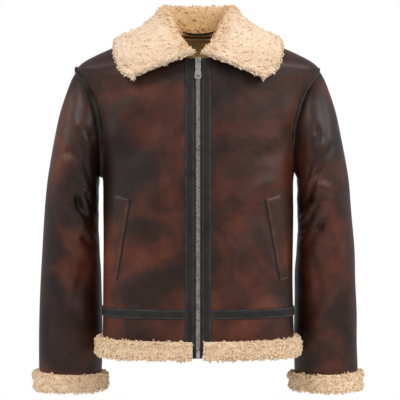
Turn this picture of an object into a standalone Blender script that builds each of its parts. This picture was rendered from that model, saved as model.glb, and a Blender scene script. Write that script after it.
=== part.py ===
"""Aviator jacket in bonded shearling: brown leather outside, fleece inside, zipped up and
filled out as if worn. Metres, +Z up, the front faces -Y, and the wearer's left side is +X.
The origin is midway between the shoulders, where the wearer holds the jacket up."""

import math

import bmesh
import bpy
import numpy as np

# Cloth and seams
WALL = 0.005
SEAM_GAP = 0.0003
LAID_ON = 0.0003
STRIP = 0.0018

# Heights on the body
NECK_TOP = 0.012
NECK_FRONT = -0.049
WAIST_SEAM = -0.5425
LEATHER_HEM = -0.5952
HEM_BOTTOM = -0.6300

# Body rings from the neck to the hem, outside the leather
BODY_COLUMNS = ("z", "half_width", "side_y", "front_y", "back_y")
BODY_RINGS = (
    (0.014, 0.078, 0.000, -0.046, 0.050),
    (0.012, 0.085, 0.000, -0.055, 0.057),
    (0.000, 0.128, 0.000, -0.083, 0.072),
    (-0.016, 0.167, 0.000, -0.102, 0.085),
    (-0.032, 0.203, 0.000, -0.1135, 0.095),
    (-0.048, 0.233, 0.000, -0.1200, 0.103),
    (-0.058, 0.243, 0.000, -0.1225, 0.107),
    (-0.074, 0.240, 0.000, -0.1255, 0.111),
    (-0.092, 0.232, 0.000, -0.1285, 0.115),
    (-0.118, 0.2226, 0.000, -0.1315, 0.119),
    (-0.144, 0.2163, 0.000, -0.1340, 0.122),
    (-0.190, 0.2065, 0.000, -0.137, 0.123),
    (-0.240, 0.1965, -0.003, -0.139, 0.121),
    (-0.272, 0.1920, -0.005, -0.140, 0.119),
    (-0.350, 0.1900, -0.012, -0.140, 0.114),
    (-0.450, 0.1890, -0.017, -0.139, 0.111),
    (-0.533, 0.1895, -0.020, -0.138, 0.112),
    (-0.600, 0.1905, -0.020, -0.138, 0.113),
    (-0.650, 0.1910, -0.020, -0.138, 0.113),
)
ROUNDNESS = 2.4

# Neckline and front edge, seen from the front
NECK_HALF_WIDTH = 0.085
FRONT_EDGE = 0.011

# Armhole edges seen from the side, each as top, bottom, reach to the front and reach to the back:
# the sleeve's end, the body panels' edge, and the two edges of the strip between them
SLEEVE_EDGE = (-0.0605, -0.2660, 0.0600, 0.0540)
BODY_EDGE = (-0.0550, -0.2780, 0.0720, 0.0660)
BINDING_OUTER = (-0.0556, -0.2774, 0.0714, 0.0654)
BINDING_INNER = (-0.0600, -0.2665, 0.0605, 0.0545)
BINDING_RISE = 0.0010
BINDING_CROWN = 0.0022
BINDING_FADE = 1.15

# Grids
NECK_ROWS = 9
ARMHOLE_ROWS = 13
SIDE_ROWS = 6
FRONT_COLUMNS = 12
BACK_COLUMNS = 22

# Sleeve rings from the armhole to the cuff, outside the leather, by their outer and inner points
SLEEVE_COLUMNS = ("outer_x", "outer_z", "inner_x", "inner_z", "mid_y", "half_depth")
SLEEVE_RINGS = (
    (0.2425, -0.0605, 0.1925, -0.266, -0.003, 0.057),
    (0.2540, -0.081, 0.1995, -0.280, -0.003, 0.070),
    (0.2660, -0.113, 0.2010, -0.301, -0.002, 0.080),
    (0.2780, -0.150, 0.2000, -0.322, 0.000, 0.084),
    (0.2880, -0.192, 0.2005, -0.345, 0.005, 0.085),
    (0.2970, -0.238, 0.2005, -0.372, 0.012, 0.084),
    (0.3050, -0.285, 0.2000, -0.402, 0.020, 0.082),
    (0.3115, -0.335, 0.1990, -0.437, 0.029, 0.079),
    (0.3165, -0.385, 0.1980, -0.473, 0.037, 0.077),
    (0.3200, -0.435, 0.1975, -0.508, 0.043, 0.075),
    (0.3225, -0.485, 0.1970, -0.543, 0.047, 0.073),
    (0.3245, -0.535, 0.1970, -0.578, 0.050, 0.072),
    (0.3260, -0.585, 0.1970, -0.612, 0.051, 0.071),
    (0.3265, -0.632, 0.1970, -0.645, 0.051, 0.070),
    (0.3265, -0.672, 0.1975, -0.676, 0.051, 0.069),
)
SLEEVE_STEPS = 24
SLEEVE_AROUND = 2 * ARMHOLE_ROWS
ARMHOLE_FADE = 3.2

# Largest folds of a sleeve: place along it and round it, reach each way, lean, and depth
FOLD_COLUMNS = ("along", "around", "reach_along", "reach_around", "lean", "depth")
SLEEVE_FOLDS = (
    (2.6, 110.0, 0.55, 38.0, 1.0, 0.0045),
    (4.0, 125.0, 0.45, 42.0, 1.2, 0.0045),
    (5.3, 120.0, 0.45, 45.0, 1.1, 0.0055),
    (6.5, 115.0, 0.45, 42.0, 0.7, 0.0050),
    (8.0, 100.0, 0.55, 38.0, -0.5, 0.0035),
    (3.0, 245.0, 0.60, 40.0, -1.0, 0.0040),
    (4.8, 235.0, 0.50, 45.0, -1.1, 0.0050),
    (6.3, 240.0, 0.50, 42.0, -0.8, 0.0045),
    (10.4, 75.0, 0.80, 35.0, 0.6, 0.0025),
)

# Collar, half of it from the middle of the back to the front end: place along the neckline,
# then the centre of its roll and the middle of its leaf's edge
COLLAR_COLUMNS = (
    "neck", "seam", "roll_x", "roll_y", "roll_z", "edge_x", "edge_y", "edge_z", "face_x", "face_y", "face_z",
)
COLLAR_ROWS = (
    (0.00, 0.000, 0.000, 0.070, 0.0665, 0.000, 0.124, -0.040, 0.00, 0.89, 0.45),
    (0.13, 0.120, 0.036, 0.067, 0.0665, 0.056, 0.122, -0.040, 0.12, 0.87, 0.48),
    (0.25, 0.220, 0.063, 0.053, 0.0655, 0.105, 0.104, -0.036, 0.34, 0.77, 0.53),
    (0.37, 0.310, 0.072, 0.027, 0.0610, 0.140, 0.068, -0.026, 0.52, 0.52, 0.66),
    (0.48, 0.385, 0.068, 0.000, 0.0520, 0.155, 0.028, -0.008, 0.55, 0.14, 0.82),
    (0.58, 0.455, 0.060, -0.028, 0.0360, 0.157, -0.012, -0.003, 0.48, -0.18, 0.86),
    (0.68, 0.560, 0.051, -0.055, 0.0150, 0.156, -0.050, -0.018, 0.34, -0.44, 0.83),
    (0.77, 0.680, 0.043, -0.080, -0.0060, 0.154, -0.080, -0.038, 0.22, -0.65, 0.73),
    (0.86, 0.800, 0.033, -0.106, -0.0230, 0.149, -0.104, -0.058, 0.15, -0.87, 0.47),
    (0.94, 0.910, 0.024, -0.123, -0.0345, 0.140, -0.121, -0.075, 0.10, -0.97, 0.22),
    (1.00, 1.000, 0.017, -0.134, -0.0420, 0.122, -0.131, -0.082, 0.10, -0.98, 0.18),
)
COLLAR_STATIONS = 16
COLLAR_ROLL = 0.0062
COLLAR_STAND_WALL = 0.009
COLLAR_LEAF_WALL = 0.011
COLLAR_LIFT = 0.0018
COLLAR_SEAM_RISE = 0.0040
COLLAR_FRONT_RISE = 0.0030
COLLAR_FRONT_LIFT = 0.0060
COLLAR_TUCK = 0.012
COLLAR_TUCK_DEPTH = 0.0071
COLLAR_STAND_PARTS = (0.0, 0.5)
COLLAR_ROLL_PARTS = (0.0, 0.25, 0.5, 0.75, 1.0)
COLLAR_LEAF_PARTS = (0.2, 0.4, 0.6, 0.8, 1.0)

# Fleece bands at hem and cuffs
HEM_STANDS_OUT = 0.0125
CUFF_STANDS_OUT = 0.0110
CUFF_TOP = -0.6725
CUFF_BOTTOM = -0.7090
BAND_CORNER = 0.007

# Strips on the front and waist
PLACKET_INNER = 0.0066
PLACKET_OUTER = 0.0254
STRAP_TOP = -0.5330
STRAP_BOTTOM = -0.5520

# Welts of the slanted pockets, corners seen from the front
WELT_TOP_FRONT = (0.132, -0.3210)
WELT_TOP_SIDE = (0.160, -0.3120)
WELT_LOW_FRONT = (0.160, -0.4800)
WELT_LOW_SIDE = (0.1765, -0.4760)
WELT_ROWS = 10
WELT_COLUMNS = 4

# Zip
CHAIN_HALF = 0.0042
CHAIN_FRONT = 0.0014
CHAIN_BACK = 0.0018
CHAIN_GAP = 0.0012
TAPE_INNER = 0.0046
TAPE_OUTER = 0.0107
TAPE_FRONT = -0.0003
TAPE_BACK = 0.0015
ZIP_TOP = -0.0490
ZIP_BOTTOM = -0.6270
SLIDER_TOP = -0.0475
SLIDER_BOTTOM = -0.0695
SLIDER_HALF = 0.0056
SLIDER_CORE = 0.0040
PLATE = 0.0014
PLATE_GAP = 0.0021
BRIDGE_RADIUS = 0.0011
BRIDGE_RISE = 0.0052
BRIDGE_HALF = 0.0062
PULL_RISE = 0.0026
PULL_BAR = 0.0009
PULL_LENGTH = 0.0330
PULL_TOP_HALF = 0.0043
PULL_LOW_HALF = 0.0066
PULL_THICK = 0.0016
PULL_CORNER = 0.0040
PULL_REST_LEAN = 8.0
EYE_HALF = 0.0022
EYE_BOTTOM = 0.0088
SLOT_HALF = 0.0026
SLOT_TOP = 0.0262
SLOT_BOTTOM = 0.0290
BOX_HALF = 0.0036
BOX_TOP = -0.6100
BOX_OUT = 0.0026

# Hanger loop inside the neck
LOOP_HALF = 0.031
LOOP_Z = 0.0215
LOOP_SAG = 0.0040
LOOP_RADIUS = 0.0016
LOOP_Y = 0.0490
LOOP_BOW = 0.0030

COLOURS = {
    "brown_leather": ((0.060, 0.026, 0.018), 0.42),
    "black_leather": ((0.012, 0.011, 0.010), 0.50),
    "collar_fleece": ((0.780, 0.560, 0.370), 0.95),
    "trim_fleece": ((0.700, 0.480, 0.270), 0.95),
    "zip_metal": ((0.620, 0.620, 0.610), 0.28),
    "zip_tape": ((0.015, 0.015, 0.016), 0.85),
}

PARTS = bpy.data.collections.new("aviator_jacket")


def clear_scene():
    for thing in list(bpy.data.objects):
        bpy.data.objects.remove(thing, do_unlink=True)
    bpy.context.scene.collection.children.link(PARTS)


def material(name):
    colour, roughness = COLOURS[name]
    found = bpy.data.materials.get(name)
    if found:
        return found
    made = bpy.data.materials.new(name)
    made.use_nodes = True
    surface = made.node_tree.nodes["Principled BSDF"]
    surface.inputs["Base Color"].default_value = (*colour, 1.0)
    surface.inputs["Roughness"].default_value = roughness
    surface.inputs["Metallic"].default_value = 1.0 if name == "zip_metal" else 0.0
    made.diffuse_color = (*colour, 1.0)
    return made


def solid(name, points, faces, finish, parent=None):
    """One closed piece, from its points and faces."""
    mesh = bpy.data.meshes.new(name)
    mesh.from_pydata([tuple(point) for point in points], [], faces)
    mesh.materials.append(material(finish))
    mesh.polygons.foreach_set("use_smooth", [True] * len(mesh.polygons))
    piece = bpy.data.objects.new(name, mesh)
    PARTS.objects.link(piece)
    piece.parent = parent
    return piece


def smooth_through(knots, values, at):
    """A smooth curve through the values at rising knots, read at any places."""
    knots = np.asarray(knots, float)
    values = np.asarray(values, float)
    at = np.asarray(at, float)
    slopes = np.gradient(values, knots, axis=0)
    left = np.clip(np.searchsorted(knots, at) - 1, 0, len(knots) - 2)
    width = knots[left + 1] - knots[left]
    part = np.clip((at - knots[left]) / width, 0.0, 1.0)[..., None]
    width = width[..., None]
    return (
        (1 + 2 * part) * (1 - part) ** 2 * values[left]
        + part * (1 - part) ** 2 * width * slopes[left]
        + part**2 * (3 - 2 * part) * values[left + 1]
        - part**2 * (1 - part) * width * slopes[left + 1]
    )


def table_at(columns, rows, places, at):
    """Every column of a table but its place, by name, read smoothly at other places."""
    found = smooth_through(places, rows, at)
    return {name: found[..., column] for column, name in enumerate(columns)}


def body_ring(z):
    """Half width, side, front and back of the body's section at height z."""
    table = np.array(BODY_RINGS)
    ring = table_at(BODY_COLUMNS, table, -table[:, 0], -np.asarray(z, float))
    return ring["half_width"], ring["side_y"], ring["front_y"], ring["back_y"]


def body_surface(angle, z):
    """The leather's outside: angle 0 is the front, a quarter turn is the wearer's left."""
    angle, z = np.broadcast_arrays(np.asarray(angle, float), np.asarray(z, float))
    half, side, front, back = body_ring(z)
    power = 2.0 / ROUNDNESS
    across = np.sign(np.sin(angle)) * np.abs(np.sin(angle)) ** power
    along = np.abs(np.cos(angle)) ** power
    y = np.where(np.cos(angle) > 0, side - (side - front) * along, side + (back - side) * along)
    return np.stack([half * across, y, z], axis=-1)


def raised(surface, u, v, out):
    """Points of a surface moved out along its own normal."""
    step = 1e-4
    u, v = np.broadcast_arrays(np.asarray(u, float), np.asarray(v, float))
    along_u = surface(u + step, v) - surface(u - step, v)
    along_v = surface(u, v + step) - surface(u, v - step)
    normal = np.cross(along_u, along_v)
    normal /= np.linalg.norm(normal, axis=-1, keepdims=True)
    return surface(u, v) + normal * np.asarray(out, float)[..., None]


def angle_at_x(x, z):
    """The front angle at which the body's section is this wide."""
    half = body_ring(z)[0]
    return np.arcsin(np.clip(np.abs(x) / half, 0, 1) ** (ROUNDNESS / 2))


def angle_at_y(forward, z, to_front):
    """The angle at which the section lies this far to the front or back of its side."""
    _, side, front, back = body_ring(z)
    reach = (side - front) if to_front else (back - side)
    turn = np.arccos(np.clip(forward / reach, 0, 1) ** (ROUNDNESS / 2))
    return turn if to_front else math.pi - turn


def armhole_z(turn, edge):
    top, bottom, _, _ = edge
    return (top + bottom) / 2 + (top - bottom) / 2 * np.cos(turn)


def armhole_reach(z, edge, to_front):
    """How far the armhole's edge lies to the front or back of the body's side."""
    top, bottom, front_reach, back_reach = edge
    level = np.clip(1 - ((z - (top + bottom) / 2) / ((top - bottom) / 2)) ** 2, 0, 1)
    _, side, _, _ = body_ring(z)
    offset = side if to_front else -side
    return (front_reach if to_front else back_reach) * np.sqrt(level) + offset * level


def neck_x(z):
    """Half width of the front neckline at height z."""
    fall = np.clip((NECK_TOP - z) / (NECK_TOP - NECK_FRONT), 0, 1)
    return FRONT_EDGE + (NECK_HALF_WIDTH - FRONT_EDGE) * np.sqrt(1 - fall**2)


def panel_rows(top_share):
    """Heights of a panel's rows: closer at the neck, the shoulder tip and the armpit."""
    share = np.linspace(top_share, 1, NECK_ROWS) ** 2
    neck = NECK_TOP - (NECK_TOP - NECK_FRONT) * share
    armhole = armhole_z(np.linspace(0, math.pi, ARMHOLE_ROWS + 1), BODY_EDGE)
    below = np.linspace(BODY_EDGE[1], WAIST_SEAM + SEAM_GAP / 2, SIDE_ROWS + 1)[1:]
    return np.concatenate([neck, armhole, below])


def side_angle(z, to_front):
    """Where a panel ends: at the shoulder seam, the armhole or the side seam."""
    in_armhole = (z < BODY_EDGE[0]) & (z > BODY_EDGE[1])
    reach = np.where(in_armhole, armhole_reach(z, BODY_EDGE, to_front), 0.0)
    return angle_at_y(reach + SEAM_GAP / 2, z, to_front)


def wall(name, outer, inner, finish, ring=False):
    """A closed wall between an outer and an inner grid of points."""
    rows, columns = outer.shape[:2]
    count = rows * columns
    points = np.concatenate([outer.reshape(-1, 3), inner.reshape(-1, 3)])
    faces = []
    last = columns if ring else columns - 1
    for row in range(rows - 1):
        for column in range(last):
            after = (column + 1) % columns
            a = row * columns + column
            b = row * columns + after
            c = (row + 1) * columns + after
            d = (row + 1) * columns + column
            faces.append((a, b, c, d))
            faces.append((count + d, count + c, count + b, count + a))
    for column in range(last):
        after = (column + 1) % columns
        low = (rows - 1) * columns
        faces.append((after, column, count + column, count + after))
        faces.append((low + column, low + after, count + low + after, count + low + column))
    if not ring:
        for row in range(rows - 1):
            here = row * columns
            there = (row + 1) * columns
            end = columns - 1
            faces.append((here, there, count + there, count + here))
            faces.append((there + end, here + end, count + here + end, count + there + end))
    return solid(name, points, outward(points, faces), finish)


def outward(points, faces):
    """The same faces, turned so that they enclose a positive volume."""
    volume = 0.0
    for face in faces:
        corners = [points[index] for index in face]
        for second, third in zip(corners[1:], corners[2:]):
            volume += np.dot(corners[0], np.cross(second, third))
    return faces if volume > 0 else [tuple(reversed(face)) for face in faces]


def loft(name, sections, finish, closed=False, parent=None):
    """A solid through sections with as many points each."""
    count = len(sections)
    size = len(sections[0])
    points = np.concatenate([np.asarray(section, float) for section in sections])
    faces = []
    for station in range(count if closed else count - 1):
        here = station * size
        there = (station + 1) % count * size
        for place in range(size):
            after = (place + 1) % size
            faces.append((here + place, here + after, there + after, there + place))
    if not closed:
        faces.append(tuple(reversed(range(size))))
        faces.append(tuple(range((count - 1) * size, count * size)))
    return solid(name, points, outward(points, faces), finish, parent)


def mirrored(points, side):
    return points * np.array([side, 1.0, 1.0])


def make_fronts():
    rows = panel_rows(0.07)
    share = np.linspace(0, 1, FRONT_COLUMNS + 1)
    edge_x = np.where(rows > NECK_FRONT, neck_x(rows), FRONT_EDGE)
    start = angle_at_x(edge_x, rows)
    end = side_angle(rows, True)
    angles = start[:, None] + (end - start)[:, None] * share
    heights = np.repeat(rows[:, None], len(share), axis=1)
    outer = raised(body_surface, angles, heights, np.zeros_like(angles))
    inner = raised(body_surface, angles, heights, np.full_like(angles, -WALL))
    wall("front_left", outer, inner, "brown_leather")
    wall("front_right", mirrored(outer, -1), mirrored(inner, -1), "brown_leather")


def make_back():
    rows = panel_rows(0.07)
    start = side_angle(rows, False)
    share = np.linspace(0, 1, BACK_COLUMNS + 1)
    angles = start[:, None] + 2 * (math.pi - start)[:, None] * share
    heights = np.repeat(rows[:, None], len(share), axis=1)
    outer = raised(body_surface, angles, heights, np.zeros_like(angles))
    inner = raised(body_surface, angles, heights, np.full_like(angles, -WALL))
    wall("back", outer, inner, "brown_leather")


def round_angles(x_start, z):
    """The panels' own angles from the front on the left, round the back, to the front on the right."""
    start = float(angle_at_x(x_start, z))
    front = np.linspace(float(angle_at_x(FRONT_EDGE, z)), math.pi / 2, FRONT_COLUMNS + 1)
    front = front[front > start + 0.02]
    back = np.linspace(math.pi / 2, 3 * math.pi / 2, BACK_COLUMNS + 1)[1:-1]
    return np.concatenate([[start], front, back, 2 * math.pi - front[::-1], [2 * math.pi - start]])


def make_round_strip(name, x_start, top, bottom, low_out, high_out, finish, rows=2):
    angles = round_angles(x_start, (top + bottom) / 2)
    heights = np.linspace(top, bottom, rows)[:, None]
    turns = np.repeat(angles[None, :], rows, axis=0)
    heights = np.repeat(heights, len(angles), axis=1)
    outer = raised(body_surface, turns, heights, np.full_like(turns, high_out))
    inner = raised(body_surface, turns, heights, np.full_like(turns, low_out))
    wall(name, outer, inner, finish)


def plain_sleeve(along, turn):
    """An even oval tube through the sleeve's rings; turn 0 is its outer line, then the front."""
    ring = table_at(SLEEVE_COLUMNS, SLEEVE_RINGS, np.arange(len(SLEEVE_RINGS)), along)
    outer_share = (1 + np.cos(turn)) / 2
    x = ring["inner_x"] + (ring["outer_x"] - ring["inner_x"]) * outer_share
    y = ring["mid_y"] - ring["half_depth"] * np.sin(turn)
    z = ring["inner_z"] + (ring["outer_z"] - ring["inner_z"]) * outer_share
    return np.stack([x, y, z], axis=-1)


def armhole_edge(turn, edge, out=0.0):
    """An edge round the armhole on the body's surface, by turns like a sleeve's."""
    turn = np.asarray(turn, float)
    z = np.clip(armhole_z(turn, edge), edge[1], edge[0])
    front = angle_at_y(armhole_reach(z, edge, True), z, True)
    back = angle_at_y(armhole_reach(z, edge, False), z, False)
    angle = np.where(np.sin(turn) >= 0, front, back)
    return raised(body_surface, angle, z, out + np.zeros(turn.shape))


def fold_depth(along, turn):
    """How far the sleeve's folds sink below the even tube."""
    sunk = np.zeros(np.broadcast(along, turn).shape)
    degrees = np.degrees(turn) % 360
    for row in SLEEVE_FOLDS:
        fold = dict(zip(FOLD_COLUMNS, row))
        away = (degrees - fold["around"] + 180) % 360 - 180
        across = (along - fold["along"] - fold["lean"] * away / 90) / fold["reach_along"]
        sunk += fold["depth"] * np.exp(-across**2 - (away / fold["reach_around"]) ** 2)
    return sunk


def sleeve_surface(along, turn):
    """The sleeve's outside, from the armhole at 0 to the cuff at the last ring."""
    along, turn = np.broadcast_arrays(np.asarray(along, float), np.asarray(turn, float))
    fade = np.exp(-((along / ARMHOLE_FADE) ** 2) * 2)
    start = armhole_edge(turn, SLEEVE_EDGE) - plain_sleeve(np.zeros_like(along), turn)
    points = plain_sleeve(along, turn) + start * fade[..., None]
    outwards = np.stack([np.cos(turn), -np.sin(turn), 0.3 * np.cos(turn)], axis=-1)
    outwards /= np.linalg.norm(outwards, axis=-1, keepdims=True)
    hold = 1 - np.exp(-((along / 1.2) ** 2))
    return points - outwards * (fold_depth(along, turn) * hold)[..., None]


def make_sleeves():
    last = len(SLEEVE_RINGS) - 1
    along = np.linspace(0.012, last, SLEEVE_STEPS + 1)
    turn = np.linspace(0, 2 * math.pi, SLEEVE_AROUND, endpoint=False)
    along, turn = np.meshgrid(along, turn, indexing="ij")
    outer = sleeve_surface(along, turn)
    # The normal of this surface points into the sleeve.
    inner = raised(sleeve_surface, along, turn, np.full_like(along, WALL))
    outer = outer + np.array([SEAM_GAP, 0, 0])
    inner = inner + np.array([SEAM_GAP, 0, 0])
    wall("sleeve_left", outer, inner, "brown_leather", ring=True)
    wall("sleeve_right", mirrored(outer, -1), mirrored(inner, -1), "brown_leather", ring=True)


def make_armhole_bindings():
    """A raised strip let in between body and sleeve, all round the armhole."""
    turns = np.linspace(0, 2 * math.pi, SLEEVE_AROUND, endpoint=False)
    middle_edge = tuple((np.array(BINDING_INNER) + np.array(BINDING_OUTER)) / 2)
    flat_below = np.clip(BINDING_FADE + np.cos(turns), 0, 1)
    rows = [
        armhole_edge(turns, BINDING_INNER, -WALL),
        armhole_edge(turns, BINDING_INNER, BINDING_RISE * flat_below),
        armhole_edge(turns, middle_edge, BINDING_CROWN * flat_below),
        armhole_edge(turns, BINDING_OUTER, BINDING_RISE * flat_below),
        armhole_edge(turns, BINDING_OUTER, -WALL),
    ]
    sections = np.stack(rows, axis=1)
    loft("armhole_binding_left", list(sections), "black_leather", closed=True)
    loft("armhole_binding_right", list(mirrored(sections, -1)), "black_leather", closed=True)


def body_distance(point):
    """Roughly how far a point lies outside the body's leather, and the way out."""
    def level(place):
        half, side, front, back = body_ring(min(place[2], BODY_RINGS[0][0]))
        reach = (side - front) if place[1] < side else (back - side)
        spread = (abs(place[0]) / half) ** ROUNDNESS + (abs(place[1] - side) / reach) ** ROUNDNESS
        return spread ** (1 / ROUNDNESS) - 1

    step = 5e-4
    slope = np.array([
        level(point + step * way) - level(point - step * way) for way in np.eye(3)
    ]) / (2 * step)
    steepness = np.linalg.norm(slope)
    return level(point) / steepness, slope / steepness


def clear_of_body(point, gap):
    """The point, moved out until it is this far off the body."""
    for _ in range(6):
        distance, way = body_distance(point)
        if point[2] > NECK_TOP + gap or distance >= gap:
            break
        point = point + way * min(gap - distance, gap)
    return point


def neckline(share):
    """The body's neckline, from the middle of the back to the front end on the left."""
    back_turns = np.linspace(math.pi, math.pi / 2, 20)
    back_part = raised(body_surface, back_turns, NECK_TOP, np.full(20, -WALL / 2))
    heights = NECK_TOP - (NECK_TOP - NECK_FRONT) * np.linspace(0.05, 1, 24) ** 2
    turns = angle_at_x(neck_x(heights), heights)
    front_part = raised(body_surface, turns, heights, np.full(24, -WALL / 2))
    path = np.concatenate([back_part, front_part])
    lengths = np.concatenate([[0], np.cumsum(np.linalg.norm(np.diff(path, axis=0), axis=1))])
    return np.array([np.interp(share * lengths[-1], lengths, path[:, k]) for k in range(3)])


def eased(part):
    """A smooth step from 0 to 1."""
    part = min(max(part, 0.0), 1.0)
    return part * part * (3 - 2 * part)


def collar_section(share):
    """One closed outline across the collar: fleece side out from the seam, leather side back."""
    places = [row[0] for row in COLLAR_ROWS]
    row = table_at(COLLAR_COLUMNS, COLLAR_ROWS, places, share)
    roll = np.array([row["roll_x"], row["roll_y"], row["roll_z"]])
    edge = np.array([row["edge_x"], row["edge_y"], row["edge_z"]])
    face = np.array([row["face_x"], row["face_y"], row["face_z"]])
    to_edge = edge - roll
    edge_length = np.linalg.norm(to_edge)
    first = to_edge / edge_length
    second = first * np.dot(face, first) - face
    second /= np.linalg.norm(second)
    seam = neckline(float(row["seam"]))
    seam[2] += COLLAR_FRONT_LIFT * share**4
    rise = COLLAR_SEAM_RISE + COLLAR_FRONT_RISE * share
    seam = seam + (roll - seam) / np.linalg.norm(roll - seam) * rise
    # In front the stand is folded flat and tucked in under the leaf.
    tucked = first * COLLAR_TUCK * eased((0.95 - share) / 0.10) + second * COLLAR_TUCK_DEPTH
    folded = eased((share - 0.46) / 0.16) * eased((1.0 - share) / 0.05)
    to_seam = (seam - roll) * (1 - folded) + tucked * folded
    seam = roll + to_seam
    seam_length = np.linalg.norm(to_seam)
    seam_turn = math.atan2(np.dot(to_seam, second), np.dot(to_seam, first))
    from_edge = -math.acos(COLLAR_ROLL / edge_length)
    from_seam = seam_turn + math.acos(min(COLLAR_ROLL / seam_length, 1.0)) - 2 * math.pi

    def on_roll(turn):
        return first * math.cos(turn) + second * math.sin(turn)

    top = roll + on_roll(from_seam) * COLLAR_ROLL
    low = roll + on_roll(from_edge) * COLLAR_ROLL
    centre = []
    normals = []
    for part in COLLAR_STAND_PARTS:
        centre.append(seam + (top - seam) * part)
        normals.append(on_roll(from_seam))
    for part in COLLAR_ROLL_PARTS:
        turn = from_seam + (from_edge - from_seam) * part
        centre.append(roll + on_roll(turn) * COLLAR_ROLL)
        normals.append(on_roll(turn))
    for part in COLLAR_LEAF_PARTS:
        centre.append(low + (edge - low) * part)
        normals.append(on_roll(from_edge))
    rolled = len(COLLAR_STAND_PARTS) + len(COLLAR_ROLL_PARTS)
    half = [COLLAR_STAND_WALL / 2] * rolled + [COLLAR_LEAF_WALL / 2] * len(COLLAR_LEAF_PARTS)
    for place in range(rolled, len(centre)):
        centre[place] = clear_of_body(centre[place], half[place] + COLLAR_LIFT)
    across = np.cross(first, second)
    for place in range(rolled, len(centre)):
        ahead = centre[min(place + 1, len(centre) - 1)] - centre[place - 1]
        normal = np.cross(ahead, across)
        normal /= np.linalg.norm(normal)
        normals[place] = normal if np.dot(normal, normals[place]) > 0 else -normal
    fleece = [spot + way * size for spot, way, size in zip(centre, normals, half)]
    leather = [spot - way * size for spot, way, size in zip(centre, normals, half)]
    ahead = centre[-1] - centre[-2]
    ahead /= np.linalg.norm(ahead)
    tip = [
        centre[-1] + (ahead * math.cos(turn) + normals[-1] * math.sin(turn)) * half[-1]
        for turn in (0.9, 0.0, -0.9)
    ]
    return np.array(fleece + tip + leather[::-1])


def make_collar():
    shares = np.linspace(1, 0, COLLAR_STATIONS, endpoint=False)
    right = [mirrored(collar_section(share), -1) for share in shares]
    left = [collar_section(share) for share in shares[::-1]]
    loft("collar", right + [collar_section(0.0)] + left, "collar_fleece")


def band_outline(low_out, high_out, top, bottom):
    """Rounded corners of a band's section, as distance out and height."""
    cut = BAND_CORNER
    return (
        (low_out, top), (high_out - cut, top), (high_out - 0.3 * cut, top - 0.3 * cut),
        (high_out, top - cut), (high_out, bottom + cut), (high_out - 0.3 * cut, bottom + 0.3 * cut),
        (high_out - cut, bottom), (low_out, bottom),
    )


def make_hem_fleece():
    outline = band_outline(-WALL, HEM_STANDS_OUT, LEATHER_HEM - SEAM_GAP, HEM_BOTTOM)
    outs = np.array([out for out, _ in outline])
    heights = np.array([z for _, z in outline])
    sections = [
        raised(body_surface, np.full(len(outs), turn), heights, outs)
        for turn in round_angles(FRONT_EDGE + SEAM_GAP, LEATHER_HEM)
    ]
    loft("hem_fleece", sections, "trim_fleece")


def make_cuffs():
    """A fleece band below each sleeve's end, level all round."""
    last = float(len(SLEEVE_RINGS) - 1)
    outline = band_outline(-WALL, CUFF_STANDS_OUT, CUFF_TOP, CUFF_BOTTOM)
    sections = []
    middle = (sleeve_surface(last, 0.0) + sleeve_surface(last, math.pi)) / 2
    for turn in np.linspace(0, 2 * math.pi, SLEEVE_AROUND, endpoint=False):
        rim = sleeve_surface(last, turn)
        out = (rim - middle) * np.array([1.0, 1.0, 0.0])
        out /= np.linalg.norm(out)
        under = rim[2] - SEAM_GAP - CUFF_TOP
        sections.append(np.array([
            rim * np.array([1.0, 1.0, 0.0]) + out * away
            + np.array([0.0, 0.0, z + under * (z - CUFF_BOTTOM) / (CUFF_TOP - CUFF_BOTTOM)])
            for away, z in outline
        ]))
    loft("cuff_fleece_left", sections, "trim_fleece", closed=True)
    flipped = [mirrored(section, -1) for section in sections]
    loft("cuff_fleece_right", flipped, "trim_fleece", closed=True)


def laid_pair(name, turns, heights, finish):
    """A strip on the left front through points of its surface, and its mirror image."""
    outer = raised(body_surface, turns, heights, np.full_like(turns, LAID_ON + STRIP))
    inner = raised(body_surface, turns, heights, np.full_like(turns, LAID_ON))
    for side_name, side in (("left", 1), ("right", -1)):
        wall(name + "_" + side_name, mirrored(outer, side), mirrored(inner, side), finish)


def make_plackets():
    rows = panel_rows(0.07)
    rows = rows[(rows < NECK_FRONT - SEAM_GAP) & (rows > WAIST_SEAM + 0.001)]
    top, bottom = NECK_FRONT - SEAM_GAP, LEATHER_HEM + SEAM_GAP
    rows = np.concatenate([[top], rows, [WAIST_SEAM, (WAIST_SEAM + bottom) / 2, bottom]])[:, None]
    across = np.array([[PLACKET_INNER, (PLACKET_INNER + PLACKET_OUTER) / 2, PLACKET_OUTER]])
    heights = np.repeat(rows, across.shape[1], axis=1)
    laid_pair("placket", angle_at_x(across + 0 * rows, heights), heights, "black_leather")


def make_welts():
    down = np.linspace(0, 1, WELT_ROWS + 1)[:, None]
    across = np.linspace(0, 1, WELT_COLUMNS + 1)[None, :]
    front_z = WELT_TOP_FRONT[1] + (WELT_LOW_FRONT[1] - WELT_TOP_FRONT[1]) * down
    side_z = WELT_TOP_SIDE[1] + (WELT_LOW_SIDE[1] - WELT_TOP_SIDE[1]) * down
    front_x = WELT_TOP_FRONT[0] + (WELT_LOW_FRONT[0] - WELT_TOP_FRONT[0]) * down
    side_x = WELT_TOP_SIDE[0] + (WELT_LOW_SIDE[0] - WELT_TOP_SIDE[0]) * down
    front_turn = angle_at_x(front_x, front_z)
    turns = front_turn + (angle_at_x(side_x, side_z) - front_turn) * across
    laid_pair("welt", turns, front_z + (side_z - front_z) * across, "brown_leather")


def make_strap():
    make_round_strip(
        "waist_strap", PLACKET_OUTER + SEAM_GAP, STRAP_TOP, STRAP_BOTTOM,
        LAID_ON, LAID_ON + STRIP, "black_leather",
    )


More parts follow.
